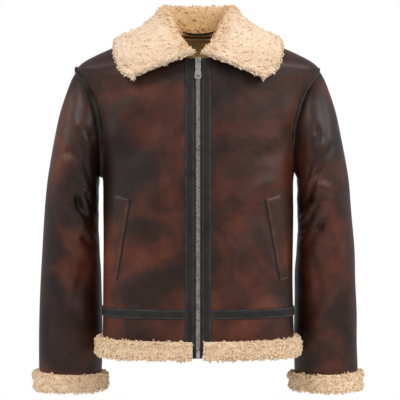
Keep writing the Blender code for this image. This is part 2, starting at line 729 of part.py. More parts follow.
def zip_strip(name, low_x, high_x, front, back, top, bottom, finish, steps=20):
    """A strip down the front's middle, as deep as given in front of and behind the leather."""
    sections = []
    for z in np.linspace(top, bottom, steps + 1):
        middle = body_surface(0.0, z)[1]
        sections.append(np.array([
            [low_x, middle - front, z], [high_x, middle - front, z],
            [high_x, middle + back, z], [low_x, middle + back, z],
        ]))
    loft(name, sections, finish)


def block(name, low, high, finish):
    """A plain block between two corners."""
    low, high = np.array(low), np.array(high)
    bpy.ops.mesh.primitive_cube_add(size=1.0, location=tuple((low + high) / 2))
    piece = bpy.context.object
    piece.name = name
    piece.scale = tuple(high - low)
    bpy.ops.object.transform_apply(location=True, scale=True)
    piece.data.materials.append(material(finish))
    for holder in list(piece.users_collection):
        holder.objects.unlink(piece)
    PARTS.objects.link(piece)
    return piece


def tube(name, path, radius, finish, sides=2):
    """A round bar along a path, as a mesh."""
    curve = bpy.data.curves.new(name, "CURVE")
    curve.dimensions = "3D"
    curve.bevel_depth = radius
    curve.bevel_resolution = sides
    curve.use_fill_caps = True
    line = curve.splines.new("POLY")
    line.points.add(len(path) - 1)
    for point, place in zip(line.points, path):
        point.co = (*place, 1.0)
    holder = bpy.data.objects.new(name + "_path", curve)
    PARTS.objects.link(holder)
    bpy.context.view_layer.update()
    graph = bpy.context.evaluated_depsgraph_get()
    mesh = bpy.data.meshes.new_from_object(holder.evaluated_get(graph))
    welded = bmesh.new()
    welded.from_mesh(mesh)
    bmesh.ops.remove_doubles(welded, verts=welded.verts, dist=1e-6)
    bmesh.ops.recalc_face_normals(welded, faces=welded.faces)
    welded.to_mesh(mesh)
    welded.free()
    mesh.materials.clear()
    mesh.materials.append(material(finish))
    piece = bpy.data.objects.new(name, mesh)
    piece.matrix_world = holder.matrix_world
    PARTS.objects.link(piece)
    bpy.data.objects.remove(holder)
    return piece


def combine(piece, others, operation="UNION"):
    """Join the others to the piece, or cut them from it, and leave one mesh."""
    for other in others:
        change = piece.modifiers.new("combine", "BOOLEAN")
        change.operation = operation
        change.solver = "EXACT"
        change.object = other
        bpy.context.view_layer.objects.active = piece
        bpy.ops.object.modifier_apply(modifier=change.name)
        bpy.data.objects.remove(other)
    return piece


def zip_slope(z):
    """How steeply the front leans at this height, as a turn about X."""
    step = 0.012
    rise = body_surface(0.0, z - step)[1] - body_surface(0.0, z + step)[1]
    return -math.atan2(-rise, 2 * step)


def make_slider():
    """Two plates round the chain, joined by a core, with a bridge for the pull tab."""
    half = (SLIDER_TOP - SLIDER_BOTTOM) / 2
    inner = PLATE_GAP
    outer = PLATE_GAP + PLATE
    slider = block(
        "zip_slider", (-SLIDER_HALF, -outer, -half), (SLIDER_HALF, -inner, half), "zip_metal"
    )
    core = block(
        "core", (-SLIDER_CORE, -inner - PLATE / 3, -half + PLATE / 3),
        (SLIDER_CORE, inner + PLATE / 3, half - PLATE / 3), "zip_metal",
    )
    rear = block("rear", (-SLIDER_HALF, inner, -half), (SLIDER_HALF, outer, half), "zip_metal")
    profile = ((1.0, -0.08), (1.0, 0.6), (0.75, 0.93), (0.4, 1.0))
    upper = [(0.0, -outer - BRIDGE_RISE * rise, BRIDGE_HALF * up) for up, rise in profile]
    lower = [(x, y, -z) for x, y, z in reversed(upper)]
    bridge = tube("bridge", upper + lower, BRIDGE_RADIUS, "zip_metal")
    combine(slider, [core, rear, bridge])
    middle = (SLIDER_TOP + SLIDER_BOTTOM) / 2
    slider.location = (0.0, float(body_surface(0.0, middle)[1]), middle)
    slider.rotation_euler.x = zip_slope(middle)
    return slider


def make_pull(slider):
    """The pull tab: a bar under the bridge, two arms, and a plate with a slot near its end."""
    corner = PULL_LOW_HALF - PULL_CORNER
    near = PULL_CORNER * 0.3
    right_edge = [
        (PULL_TOP_HALF, 0.0), (PULL_LOW_HALF, PULL_CORNER - PULL_LENGTH),
        (PULL_LOW_HALF - near, near - PULL_LENGTH), (corner, -PULL_LENGTH),
    ]
    outline = right_edge + [(-x, z) for x, z in reversed(right_edge)]
    half = PULL_THICK / 2
    sections = [np.array([[x, y, z] for x, z in outline]) for y in (-half, half)]
    pull = loft("zip_pull", sections, "zip_metal")
    deep = 4 * PULL_THICK
    eye = block("eye", (-EYE_HALF, -deep, -EYE_BOTTOM), (EYE_HALF, deep, -PULL_BAR), "zip_metal")
    slot = block("slot", (-SLOT_HALF, -deep, -SLOT_BOTTOM), (SLOT_HALF, deep, -SLOT_TOP), "zip_metal")
    combine(pull, [eye, slot], "DIFFERENCE")
    bar_path = [(-PULL_TOP_HALF, 0.0, 0.0), (PULL_TOP_HALF, 0.0, 0.0)]
    combine(pull, [tube("bar", bar_path, PULL_BAR, "zip_metal")])
    lean = slider.rotation_euler.x
    out = PLATE_GAP + PLATE + PULL_RISE
    pull.location = (
        0.0, slider.location.y - out * math.cos(lean), slider.location.z - out * math.sin(lean)
    )
    pull.rotation_euler.x = -math.radians(PULL_REST_LEAN)


def make_zip():
    for name, side in (("left", 1), ("right", -1)):
        low, high = sorted((side * TAPE_INNER, side * TAPE_OUTER))
        zip_strip(
            "zip_tape_" + name, low, high, TAPE_FRONT, TAPE_BACK,
            ZIP_TOP, ZIP_BOTTOM, "zip_tape",
        )
    zip_strip(
        "zip_chain", -CHAIN_HALF, CHAIN_HALF, CHAIN_FRONT, CHAIN_BACK,
        SLIDER_BOTTOM - CHAIN_GAP, BOX_TOP, "zip_metal",
    )
    middle = body_surface(0.0, BOX_TOP)[1]
    block(
        "zip_box", (-BOX_HALF, middle - BOX_OUT, ZIP_BOTTOM),
        (BOX_HALF, middle + CHAIN_BACK, BOX_TOP - SEAM_GAP), "zip_metal",
    )
    make_pull(make_slider())


def make_hanger_loop():
    """A short cord across the inside of the back neck, sagging a little."""
    steps = 12
    path = []
    for step in range(steps + 1):
        share = 2 * step / steps - 1
        sag = LOOP_SAG * (1 - share**2)
        path.append((LOOP_HALF * share, LOOP_Y - LOOP_BOW * (1 - share**2), LOOP_Z - sag))
    tube("hanger_loop", path, LOOP_RADIUS, "black_leather", sides=1)


clear_scene()
make_fronts()
make_back()
make_round_strip(
    "waistband", FRONT_EDGE, WAIST_SEAM - SEAM_GAP / 2, LEATHER_HEM + SEAM_GAP,
    -WALL, 0.0, "brown_leather", rows=3,
)
make_sleeves()
make_armhole_bindings()
make_collar()
make_hem_fleece()
make_cuffs()
make_plackets()
make_welts()
make_strap()
make_zip()
make_hanger_loop()
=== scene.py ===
import math

import bpy
import numpy as np
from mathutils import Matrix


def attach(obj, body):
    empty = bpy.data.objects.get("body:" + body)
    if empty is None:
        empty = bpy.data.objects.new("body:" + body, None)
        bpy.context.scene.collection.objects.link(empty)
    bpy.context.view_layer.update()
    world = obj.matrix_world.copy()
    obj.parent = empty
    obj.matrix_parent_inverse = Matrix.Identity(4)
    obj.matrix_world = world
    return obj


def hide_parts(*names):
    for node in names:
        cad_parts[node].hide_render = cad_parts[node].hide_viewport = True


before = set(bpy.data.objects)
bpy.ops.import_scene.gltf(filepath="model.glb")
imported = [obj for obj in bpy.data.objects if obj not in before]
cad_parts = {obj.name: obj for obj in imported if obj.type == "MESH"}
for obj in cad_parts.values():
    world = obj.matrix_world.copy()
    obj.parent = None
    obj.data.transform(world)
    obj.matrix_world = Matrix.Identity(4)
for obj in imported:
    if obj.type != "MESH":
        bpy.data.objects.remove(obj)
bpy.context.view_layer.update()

# Camera, lights and backdrop. The jacket hangs level with the camera, its zip 2.6 m away, over a pale
# round floor before a white background. Broad soft lights from above give the leather its wide sheen.
ZIP_Y = -0.138
CAMERA_AWAY = 2.60
CAMERA_X = 0.0038
CAMERA_Z = -0.3225
LENS_MM = 122.0
SENSOR_MM = 36.0
FLOOR_Z = -1.05
FLOOR_RADIUS = 1.45
FLOOR_SIDES = 96
LIGHTS = (
    # name, place, aimed at, size, watts
    ("key", (-1.3, -1.9, 1.9), (0.0, 0.0, -0.2), 1.1, 42.0),
    ("fill", (1.9, -1.7, 1.3), (0.1, 0.0, -0.3), 1.0, 34.0),
    ("side", (2.2, -0.3, 0.6), (0.25, 0.0, -0.3), 1.0, 15.0),
    ("other_side", (-2.2, -0.3, 0.6), (-0.25, 0.0, -0.3), 1.0, 12.0),
)
NECK_LAMP = ((0.0, -2.55, 0.42), (0.0, 0.095, -0.045), 0.021, 120.0)
WORLD_LIGHT = 0.42


def aim(thing, place, target):
    thing.location = place
    way = np.array(target) - np.array(place)
    thing.rotation_euler[0] = math.atan2(math.hypot(way[0], way[1]), -way[2])
    thing.rotation_euler[2] = math.atan2(-way[0], way[1])


def new_object(name, data):
    made = bpy.data.objects.new(name, data)
    bpy.context.scene.collection.objects.link(made)
    return made


def finish_for(name):
    """A new material with its node tree, and its surface node."""
    made = bpy.data.materials.new(name)
    made.use_nodes = True
    tree = made.node_tree
    return made, tree, tree.nodes["Principled BSDF"]


camera_data = bpy.data.cameras.new("camera")
camera_data.lens = LENS_MM
camera_data.sensor_width = SENSOR_MM
camera = new_object("camera", camera_data)
camera.location = (CAMERA_X, ZIP_Y - CAMERA_AWAY, CAMERA_Z)
camera.rotation_euler = (math.pi / 2, 0.0, 0.0)
bpy.context.scene.camera = camera

for light_name, light_place, light_target, light_size, light_watts in LIGHTS:
    light_data = bpy.data.lights.new(light_name, "AREA")
    light_data.size = light_size
    light_data.energy = light_watts
    light = new_object(light_name, light_data)
    aim(light, light_place, light_target)

neck_place, neck_target, neck_beam, neck_watts = NECK_LAMP
neck_lamp_data = bpy.data.lights.new("neck", "SPOT")
neck_lamp_data.spot_size = neck_beam
neck_lamp_data.spot_blend = 1.0
neck_lamp_data.shadow_soft_size = 0.02
neck_lamp_data.energy = neck_watts
aim(new_object("neck", neck_lamp_data), neck_place, neck_target)

world = bpy.data.worlds.new("studio")
world.use_nodes = True
world_tree = world.node_tree
world_tree.nodes["Background"].inputs["Color"].default_value = (1.0, 1.0, 1.0, 1.0)
seen = world_tree.nodes.new("ShaderNodeLightPath")
strength = world_tree.nodes.new("ShaderNodeMapRange")
strength.inputs["To Min"].default_value = WORLD_LIGHT
strength.inputs["To Max"].default_value = 1.0
world_tree.links.new(seen.outputs["Is Camera Ray"], strength.inputs["Value"])
world_tree.links.new(strength.outputs["Result"], world_tree.nodes["Background"].inputs["Strength"])
bpy.context.scene.world = world
bpy.context.scene.view_settings.view_transform = "Standard"

turns = np.arange(FLOOR_SIDES) * 2 * math.pi / FLOOR_SIDES
floor_mesh = bpy.data.meshes.new("floor")
floor_mesh.from_pydata(
    [(FLOOR_RADIUS * math.cos(turn), FLOOR_RADIUS * math.sin(turn), FLOOR_Z) for turn in turns], [],
    [tuple(range(FLOOR_SIDES))])
floor = new_object("floor", floor_mesh)
pale, pale_tree, pale_surface = finish_for("pale_floor")
pale_surface.inputs["Base Color"].default_value = (0.95, 0.95, 0.95, 1.0)
pale_surface.inputs["Roughness"].default_value = 1.0
floor_mesh.materials.append(pale)

# Fronts and back. Each is one piece of leather bonded to fleece, brown and rubbed outside, cut to
# the neckline, the shoulder and side seams and the armhole, with its edges turned in at the seams.
BODY_COLUMNS = ("z", "half_width", "side_y", "front_y", "back_y")
BODY_RINGS = (
    (0.014, 0.078, 0.000, -0.046, 0.050),
    (0.012, 0.085, 0.000, -0.055, 0.057),
    (0.000, 0.128, 0.000, -0.083, 0.072),
    (-0.016, 0.167, 0.000, -0.102, 0.085),
    (-0.032, 0.203, 0.000, -0.1135, 0.095),
    (-0.048, 0.233, 0.000, -0.1200, 0.103),
    (-0.058, 0.243, 0.000, -0.1225, 0.107),
    (-0.074, 0.240, 0.000, -0.1255, 0.111),
    (-0.092, 0.232, 0.000, -0.1285, 0.115),
    (-0.118, 0.2226, 0.000, -0.1315, 0.119),
    (-0.144, 0.2163, 0.000, -0.1340, 0.122),
    (-0.190, 0.2065, 0.000, -0.137, 0.123),
    (-0.240, 0.1965, -0.003, -0.139, 0.121),
    (-0.272, 0.1920, -0.005, -0.140, 0.119),
    (-0.350, 0.1900, -0.012, -0.140, 0.114),
    (-0.450, 0.1890, -0.017, -0.139, 0.111),
    (-0.533, 0.1895, -0.020, -0.138, 0.112),
    (-0.600, 0.1905, -0.020, -0.138, 0.113),
    (-0.650, 0.1910, -0.020, -0.138, 0.113),
)
ROUNDNESS = 2.4
WALL = 0.005
SEAM_GAP = 0.0003
NECK_TOP = 0.012
NECK_FRONT = -0.049
WAIST_SEAM = -0.5425
NECK_HALF_WIDTH = 0.085
FRONT_EDGE = 0.011
# Armhole edges seen from the side: top, bottom, reach to the front and reach to the back
SLEEVE_EDGE = (-0.0605, -0.2660, 0.0600, 0.0540)
BODY_EDGE = (-0.0550, -0.2780, 0.0720, 0.0660)
NECK_ROWS = 22
ARMHOLE_ROWS = 52
SIDE_ROWS = 62
FRONT_COLUMNS = 54
BACK_COLUMNS = 96
SEAM_SINK = 0.0011
SEAM_REACH = 0.0035
# Soft ridges and troughs seen from the front: middle, half length each way, width and height
CREASE_COLUMNS = ("x", "z", "along_x", "along_z", "width", "height")
FRONT_CREASES = (
    (0.120, -0.300, 0.030, 0.045, 0.016, 0.0034),
    (0.098, -0.345, 0.030, 0.060, 0.020, -0.0026),
    (0.150, -0.215, 0.045, 0.030, 0.018, -0.0029),
    (0.160, -0.170, 0.040, 0.050, 0.016, 0.0023),
    (0.060, -0.130, 0.045, 0.018, 0.022, -0.0016),
    (0.075, -0.430, 0.050, 0.030, 0.026, 0.0023),
    (0.060, -0.500, 0.055, 0.008, 0.018, 0.0021),
    (0.140, -0.505, 0.040, 0.010, 0.014, -0.0023),
    (0.030, -0.250, 0.008, 0.060, 0.012, -0.0010),
    (-0.115, -0.215, 0.050, 0.025, 0.020, -0.0026),
    (-0.150, -0.175, 0.035, 0.045, 0.016, 0.0023),
    (-0.080, -0.330, 0.040, 0.060, 0.024, 0.0023),
    (-0.120, -0.440, 0.040, 0.030, 0.022, -0.0021),
    (-0.070, -0.490, 0.060, 0.010, 0.018, 0.0023),
    (-0.055, -0.150, 0.040, 0.030, 0.024, -0.0016),
    (-0.135, -0.520, 0.045, 0.006, 0.012, -0.0018),
)
BACK_CREASES = (
    (0.120, -0.240, 0.050, 0.040, 0.022, -0.0034),
    (-0.125, -0.250, 0.050, 0.045, 0.022, -0.0034),
    (0.060, -0.360, 0.060, 0.050, 0.026, 0.0029),
    (-0.070, -0.400, 0.060, 0.045, 0.028, 0.0029),
    (0.000, -0.500, 0.090, 0.008, 0.018, -0.0026),
    (0.090, -0.470, 0.060, 0.012, 0.016, 0.0023),
    (-0.100, -0.480, 0.055, 0.012, 0.016, 0.0023),
    (0.000, -0.160, 0.070, 0.012, 0.028, -0.0018),
)


def smooth_through(knots, values, at):
    """A smooth curve through the values at rising knots, read at any places."""
    knots = np.asarray(knots, float)
    values = np.asarray(values, float)
    at = np.asarray(at, float)
    slopes = np.gradient(values, knots, axis=0)
    left = np.clip(np.searchsorted(knots, at) - 1, 0, len(knots) - 2)
    width = knots[left + 1] - knots[left]
    part = np.clip((at - knots[left]) / width, 0.0, 1.0)[..., None]
    width = width[..., None]
    return (
        (1 + 2 * part) * (1 - part) ** 2 * values[left]
        + part * (1 - part) ** 2 * width * slopes[left]
        + part**2 * (3 - 2 * part) * values[left + 1]
        - part**2 * (1 - part) * width * slopes[left + 1]
    )


def table_at(columns, rows, places, at):
    """Every column of a table by name, read smoothly at other places."""
    found = smooth_through(places, rows, at)
    return {name: found[..., column] for column, name in enumerate(columns)}


def body_ring(z):
    """Half width, side, front and back of the body's section at height z."""
    table = np.array(BODY_RINGS)
    ring = table_at(BODY_COLUMNS, table, -table[:, 0], -np.asarray(z, float))
    return ring["half_width"], ring["side_y"], ring["front_y"], ring["back_y"]


def plain_body(angle, z):
    """The leather's outside without creases: angle 0 is the front, a quarter turn the left."""
    angle, z = np.broadcast_arrays(np.asarray(angle, float), np.asarray(z, float))
    half, side, front, back = body_ring(z)
    power = 2.0 / ROUNDNESS
    across = np.sign(np.sin(angle)) * np.abs(np.sin(angle)) ** power
    along = np.abs(np.cos(angle)) ** power
    y = np.where(np.cos(angle) > 0, side - (side - front) * along, side + (back - side) * along)
    return np.stack([half * across, y, z], axis=-1)


def normals_of(surface, u, v):
    step = 1e-4
    u, v = np.broadcast_arrays(np.asarray(u, float), np.asarray(v, float))
    along_u = surface(u + step, v) - surface(u - step, v)
    along_v = surface(u, v + step) - surface(u, v - step)
    normal = np.cross(along_u, along_v)
    return normal / np.linalg.norm(normal, axis=-1, keepdims=True)


def raised(surface, u, v, out):
    """Points of a surface moved out along its own normal."""
    return surface(u, v) + normals_of(surface, u, v) * np.asarray(out, float)[..., None]


def wander(points, size, seed):
    """A slow, even wander between about -1 and 1 over points in space."""
    found = np.zeros(points.shape[:-1])
    chance = np.random.default_rng(seed)
    for _ in range(7):
        way = chance.normal(size=3)
        way /= np.linalg.norm(way)
        found += np.sin(points @ way * chance.uniform(3.5, 8.5) / size + chance.uniform(0, 6.28))
    return found / 3.2


def crease_height(points, creases):
    """Height of the listed soft creases, uneven along their length, seen from the front."""
    x, z = points[..., 0], points[..., 2]
    height = np.zeros(x.shape)
    for number, row in enumerate(creases):
        crease = dict(zip(CREASE_COLUMNS, row))
        half = math.hypot(crease["along_x"], crease["along_z"])
        way_x, way_z = crease["along_x"] / half, crease["along_z"] / half
        away_x, away_z = x - crease["x"], z - crease["z"]
        along = away_x * way_x + away_z * way_z
        bend = 0.18 * half * np.sin(along / half * 2.2 + number)
        across = away_z * way_x - away_x * way_z + bend
        uneven = 1 + 0.35 * np.sin(along / half * 5 + 1.7 * number)
        height += crease["height"] * uneven * np.exp(-((along / half) ** 2) - (across / crease["width"]) ** 2)
    return height


def body_surface(angle, z):
    """The leather's outside with its creases."""
    points = plain_body(angle, z)
    normal = normals_of(plain_body, angle, z)
    facing = np.clip(-normal[..., 1] * 2.5, -1, 1)
    front = crease_height(points, FRONT_CREASES) * np.clip(facing, 0, 1)
    back = crease_height(points, BACK_CREASES) * np.clip(-facing, 0, 1)
    middle_free = 1 - np.exp(-((points[..., 0] / 0.034) ** 2)) * (facing > 0)
    neck_free = np.clip((0.0 - points[..., 2]) / 0.05, 0, 1)
    swell = 0.0007 * wander(points, 0.16, 5)
    return points + normal * ((front + back + swell) * middle_free * neck_free)[..., None]


def angle_at_x(x, z):
    half = body_ring(z)[0]
    return np.arcsin(np.clip(np.abs(x) / half, 0, 1) ** (ROUNDNESS / 2))


def angle_at_y(forward, z, to_front):
    _, side, front, back = body_ring(z)
    reach = (side - front) if to_front else (back - side)
    turn = np.arccos(np.clip(forward / reach, 0, 1) ** (ROUNDNESS / 2))
    return turn if to_front else math.pi - turn


def armhole_z(turn, edge):
    top, bottom, _, _ = edge
    return (top + bottom) / 2 + (top - bottom) / 2 * np.cos(turn)


def armhole_reach(z, edge, to_front):
    top, bottom, front_reach, back_reach = edge
    level = np.clip(1 - ((z - (top + bottom) / 2) / ((top - bottom) / 2)) ** 2, 0, 1)
    _, side, _, _ = body_ring(z)
    offset = side if to_front else -side
    return (front_reach if to_front else back_reach) * np.sqrt(level) + offset * level


def neck_x(z):
    fall = np.clip((NECK_TOP - z) / (NECK_TOP - NECK_FRONT), 0, 1)
    return FRONT_EDGE + (NECK_HALF_WIDTH - FRONT_EDGE) * np.sqrt(1 - fall**2)


def panel_rows():
    share = np.linspace(0.07, 1, NECK_ROWS) ** 2
    neck = NECK_TOP - (NECK_TOP - NECK_FRONT) * share
    armhole = armhole_z(np.linspace(0, math.pi, ARMHOLE_ROWS + 1), BODY_EDGE)
    below = np.linspace(BODY_EDGE[1], WAIST_SEAM + SEAM_GAP / 2, SIDE_ROWS + 1)[1:]
    return np.concatenate([neck, armhole, below])


def side_angle(z, to_front):
    in_armhole = (z < BODY_EDGE[0]) & (z > BODY_EDGE[1])
    reach = np.where(in_armhole, armhole_reach(z, BODY_EDGE, to_front), 0.0)
    return angle_at_y(reach + SEAM_GAP / 2, z, to_front)


def edge_distance(points, ring=False):
    """How far each point of a grid lies from the grid's edges, along the surface."""
    down = np.linalg.norm(np.diff(points, axis=0), axis=-1)
    down = np.concatenate([np.zeros((1,) + down.shape[1:]), np.cumsum(down, axis=0)])
    least = np.minimum(down, down[-1] - down)
    if not ring:
        over = np.linalg.norm(np.diff(points, axis=1), axis=-1)
        over = np.concatenate([np.zeros((over.shape[0], 1)), np.cumsum(over, axis=1)], axis=1)
        least = np.minimum(least, np.minimum(over, over[:, -1:] - over))
    return least


def edge_wear(points, away):
    """Colour rubbed off near a piece's edges, here more and there less."""
    return 0.55 * np.exp(-((away / 0.004) ** 2)) * np.clip(0.6 + 0.6 * wander(points, 0.03, 9), 0, 1)


def grid_faces(rows, columns, ring, start=0, turned=False):
    last = columns if ring else columns - 1
    row, column = np.meshgrid(np.arange(rows - 1), np.arange(last), indexing="ij")
    after = (column + 1) % columns
    corners = [row * columns + column, row * columns + after,
               (row + 1) * columns + after, (row + 1) * columns + column]
    faces = np.stack(corners, axis=-1).reshape(-1, 4) + start
    return faces[:, ::-1] if turned else faces


def mesh_piece(name, points, faces, finishes, slots=None, values=None):
    """A piece from points and faces, with its finishes and a value on each point."""
    mesh = bpy.data.meshes.new(name)
    mesh.from_pydata(points.tolist(), [], faces.tolist() if hasattr(faces, "tolist") else faces)
    for finish in finishes:
        mesh.materials.append(finish)
    if slots is not None:
        mesh.polygons.foreach_set("material_index", slots)
    for value_name, value in (values or {}).items():
        layer = mesh.attributes.new(value_name, "FLOAT", "POINT")
        layer.data.foreach_set("value", np.asarray(value, np.float32).reshape(-1))
    mesh.polygons.foreach_set("use_smooth", [True] * len(mesh.polygons))
    mesh.set_sharp_from_angle(angle=math.radians(52))
    piece = new_object(name, mesh)
    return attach(piece, "jacket") or piece


def wall_piece(name, outer, inner, finishes, ring=False, values=None):
    """A closed wall between two grids: finish 0 outside and on the edges, finish 1 inside."""
    rows, columns = outer.shape[:2]
    count = rows * columns
    points = np.concatenate([outer.reshape(-1, 3), inner.reshape(-1, 3)])
    outside = grid_faces(rows, columns, ring)
    inside = grid_faces(rows, columns, ring, count, turned=True)
    last = columns if ring else columns - 1
    column = np.arange(last)
    after = (column + 1) % columns
    low = (rows - 1) * columns
    rims = [
        np.stack([after, column, count + column, count + after], axis=1),
        np.stack([low + column, low + after, count + low + after, count + low + column], axis=1),
    ]
    if not ring:
        row = np.arange(rows - 1) * columns
        below = row + columns
        end = columns - 1
        rims.append(np.stack([row, below, count + below, count + row], axis=1))
        rims.append(np.stack([below + end, row + end, count + row + end, count + below + end], axis=1))
    faces = np.concatenate([outside, *rims, inside])
    corners = points[faces]
    volume = np.einsum("ij,ij->", corners[:, 0], np.cross(corners[:, 1], corners[:, 2]))
    volume += np.einsum("ij,ij->", corners[:, 0], np.cross(corners[:, 2], corners[:, 3]))
    if volume < 0:
        faces = faces[:, ::-1]
    slots = np.zeros(len(faces), np.int32)
    slots[len(faces) - len(inside):] = len(finishes) - 1
    doubled = {key: np.concatenate([value.reshape(-1)] * 2) for key, value in (values or {}).items()}
    return mesh_piece(name, points, faces, finishes, slots, doubled)


def mirrored(points, side):
    return points * np.array([side, 1.0, 1.0])


def node_maker(tree):
    def make(kind, settings=None, **inputs):
        made = tree.nodes.new(kind)
        for key, value in (settings or {}).items():
            setattr(made, key, value)
        for key, value in inputs.items():
            socket = made.inputs[key.replace("_", " ")] if key.replace("_", " ") in made.inputs else made.inputs[int(key[1:])]
            if isinstance(value, bpy.types.NodeSocket):
                tree.links.new(value, socket)
            else:
                socket.default_value = value
        return made
    return make


def ramp(make, factor, stops):
    """A colour ramp over a factor, from stops of place and colour."""
    made = make("ShaderNodeValToRGB", Fac=factor)
    for number, (place, colour) in enumerate(stops):
        stop = made.color_ramp.elements[number] if number < 2 else made.color_ramp.elements.new(place)
        stop.position = place
        stop.color = (*colour, 1.0)
    return made.outputs["Color"]


def brown_leather(name):
    """Dark chocolate leather, rubbed to red brown in patches, with a fine grain and a soft sheen."""
    finish, tree, surface = finish_for(name)
    make = node_maker(tree)
    place = make("ShaderNodeTexCoord").outputs["Object"]
    patches = make("ShaderNodeTexNoise", Vector=place, Scale=7.5, Detail=3.0, Roughness=0.55, Distortion=0.6)
    smoke = make("ShaderNodeTexNoise", Vector=place, Scale=24.0, Detail=5.0, Roughness=0.6)
    speck = make("ShaderNodeTexNoise", Vector=place, Scale=420.0, Detail=2.0)
    base = ramp(make, patches.outputs["Fac"], (
        (0.34, (0.016, 0.0075, 0.0055)), (0.47, (0.036, 0.0120, 0.0070)),
        (0.58, (0.078, 0.0200, 0.0092)), (0.72, (0.125, 0.0310, 0.0130)),
    ))
    dusk = ramp(make, smoke.outputs["Fac"], ((0.30, (0.62, 0.62, 0.64)), (0.70, (1.22, 1.18, 1.16))))
    toned = make("ShaderNodeMix", {"data_type": "RGBA", "blend_type": "MULTIPLY"}, _0=1.0)
    tree.links.new(base, toned.inputs[6])
    tree.links.new(dusk, toned.inputs[7])
    worn = make("ShaderNodeAttribute", {"attribute_name": "wear"})
    rubbed = make("ShaderNodeMix", {"data_type": "RGBA"})
    tree.links.new(worn.outputs["Fac"], rubbed.inputs[0])
    tree.links.new(toned.outputs[2], rubbed.inputs[6])
    rubbed.inputs[7].default_value = (0.150, 0.060, 0.040, 1.0)
    tree.links.new(rubbed.outputs[2], surface.inputs["Base Color"])
    rough = make("ShaderNodeMapRange", Value=smoke.outputs["Fac"], To_Min=0.36, To_Max=0.52)
    tree.links.new(rough.outputs[0], surface.inputs["Roughness"])
    grain = make("ShaderNodeTexVoronoi", {"feature": "DISTANCE_TO_EDGE"}, Vector=place, Scale=520.0)
    grain_low = make("ShaderNodeMath", {"operation": "MINIMUM"}, _0=grain.outputs["Distance"], _1=0.25)
    creping = make("ShaderNodeTexNoise", Vector=place, Scale=75.0, Detail=5.0, Roughness=0.62)
    relief = make("ShaderNodeMath", {"operation": "MULTIPLY_ADD"}, _0=creping.outputs["Fac"], _1=1.6)
    tree.links.new(grain_low.outputs[0], relief.inputs[2])
    bump = make("ShaderNodeBump", Strength=0.46, Distance=0.0010, Height=relief.outputs[0])
    fine = make("ShaderNodeBump", Strength=0.15, Distance=0.0004, Height=speck.outputs["Fac"], Normal=bump.outputs[0])
    tree.links.new(fine.outputs[0], surface.inputs["Normal"])
    surface.inputs["Specular IOR Level"].default_value = 0.27
    surface.inputs["Coat Weight"].default_value = 0.10
    surface.inputs["Coat Roughness"].default_value = 0.26
    return finish


def fleece_finish(name, low, middle, high):
    """Short curly fleece, quite matt, with painted shade: dark between the curls and pale on their tops."""
    finish, tree, surface = finish_for(name)
    make = node_maker(tree)
    place = make("ShaderNodeTexCoord").outputs["Object"]
    # The curl value is painted shade baked on each point: low in the hollows between curls, high on their tops.
    lump_and_shade = make("ShaderNodeAttribute", {"attribute_name": "curl"})
    strands = make("ShaderNodeTexNoise", Vector=place, Scale=300.0, Detail=4.0, Roughness=0.7, Distortion=1.5)
    clouds = make("ShaderNodeTexNoise", Vector=place, Scale=38.0, Detail=3.0)
    knots = make("ShaderNodeTexVoronoi", Vector=place, Scale=330.0)
    # Painted shade at a finer scale: the colour follows the knots and strands of the bump, darker where its relief is
    # low.
    knot_shade = make("ShaderNodeMath", {"operation": "MULTIPLY_ADD"}, _0=knots.outputs["Distance"], _1=-0.55)
    tree.links.new(lump_and_shade.outputs["Fac"], knot_shade.inputs[2])
    level = make("ShaderNodeMath", {"operation": "MULTIPLY_ADD"}, _0=strands.outputs["Fac"], _1=0.55)
    tree.links.new(knot_shade.outputs[0], level.inputs[2])
    colour = ramp(make, level.outputs[0], ((0.10, low), (0.46, middle), (0.90, high)))
    tint = ramp(make, clouds.outputs["Fac"], ((0.3, (0.94, 0.92, 0.89)), (0.7, (1.03, 1.02, 1.01))))
    toned = make("ShaderNodeMix", {"data_type": "RGBA", "blend_type": "MULTIPLY"}, _0=1.0)
    tree.links.new(colour, toned.inputs[6])
    tree.links.new(tint, toned.inputs[7])
    inside = make("ShaderNodeAttribute", {"attribute_name": "gold"})
    golden = make("ShaderNodeMix", {"data_type": "RGBA", "blend_type": "MULTIPLY"}, _0=inside.outputs["Fac"])
    tree.links.new(toned.outputs[2], golden.inputs[6])
    golden.inputs[7].default_value = (0.86, 0.68, 0.42, 1.0)
    tree.links.new(golden.outputs[2], surface.inputs["Base Color"])
    relief = make("ShaderNodeMath", {"operation": "MULTIPLY_ADD"}, _0=knots.outputs["Distance"], _1=-1.0)
    tree.links.new(strands.outputs["Fac"], relief.inputs[2])
    bump = make("ShaderNodeBump", Strength=0.8, Distance=0.0016, Height=relief.outputs[0])
    tree.links.new(bump.outputs[0], surface.inputs["Normal"])
    surface.inputs["Roughness"].default_value = 0.95
    surface.inputs["Specular IOR Level"].default_value = 0.12
    surface.inputs["Sheen Weight"].default_value = 0.25
    surface.inputs["Sheen Roughness"].default_value = 0.6
    return finish


BROWN = brown_leather("rubbed_brown_leather")
LINING = fleece_finish("golden_lining_fleece", (0.55, 0.36, 0.15), (0.88, 0.63, 0.32), (0.98, 0.78, 0.48))


def panel(name, angles, heights):
    flat = body_surface(angles, heights)
    away = edge_distance(flat)
    sink = -SEAM_SINK * np.exp(-((away / SEAM_REACH) ** 2))
    outer = raised(body_surface, angles, heights, sink)
    inner = raised(body_surface, angles, heights, np.full(angles.shape, -WALL))
    piece = wall_piece(name, outer, inner, [BROWN, LINING], values={"wear": edge_wear(flat, away)})
    return piece


panel_heights = panel_rows()
front_start = angle_at_x(np.where(panel_heights > NECK_FRONT, neck_x(panel_heights), FRONT_EDGE), panel_heights)
front_end = side_angle(panel_heights, True)
front_share = np.linspace(0, 1, FRONT_COLUMNS + 1)
front_angles = front_start[:, None] + (front_end - front_start)[:, None] * front_share
front_heights = np.repeat(panel_heights[:, None], len(front_share), axis=1)
for front_name, front_side in (("front_left", 1), ("front_right", -1)):
    front = panel(front_name + "_leather", front_side * front_angles, front_heights)
    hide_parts(front_name)

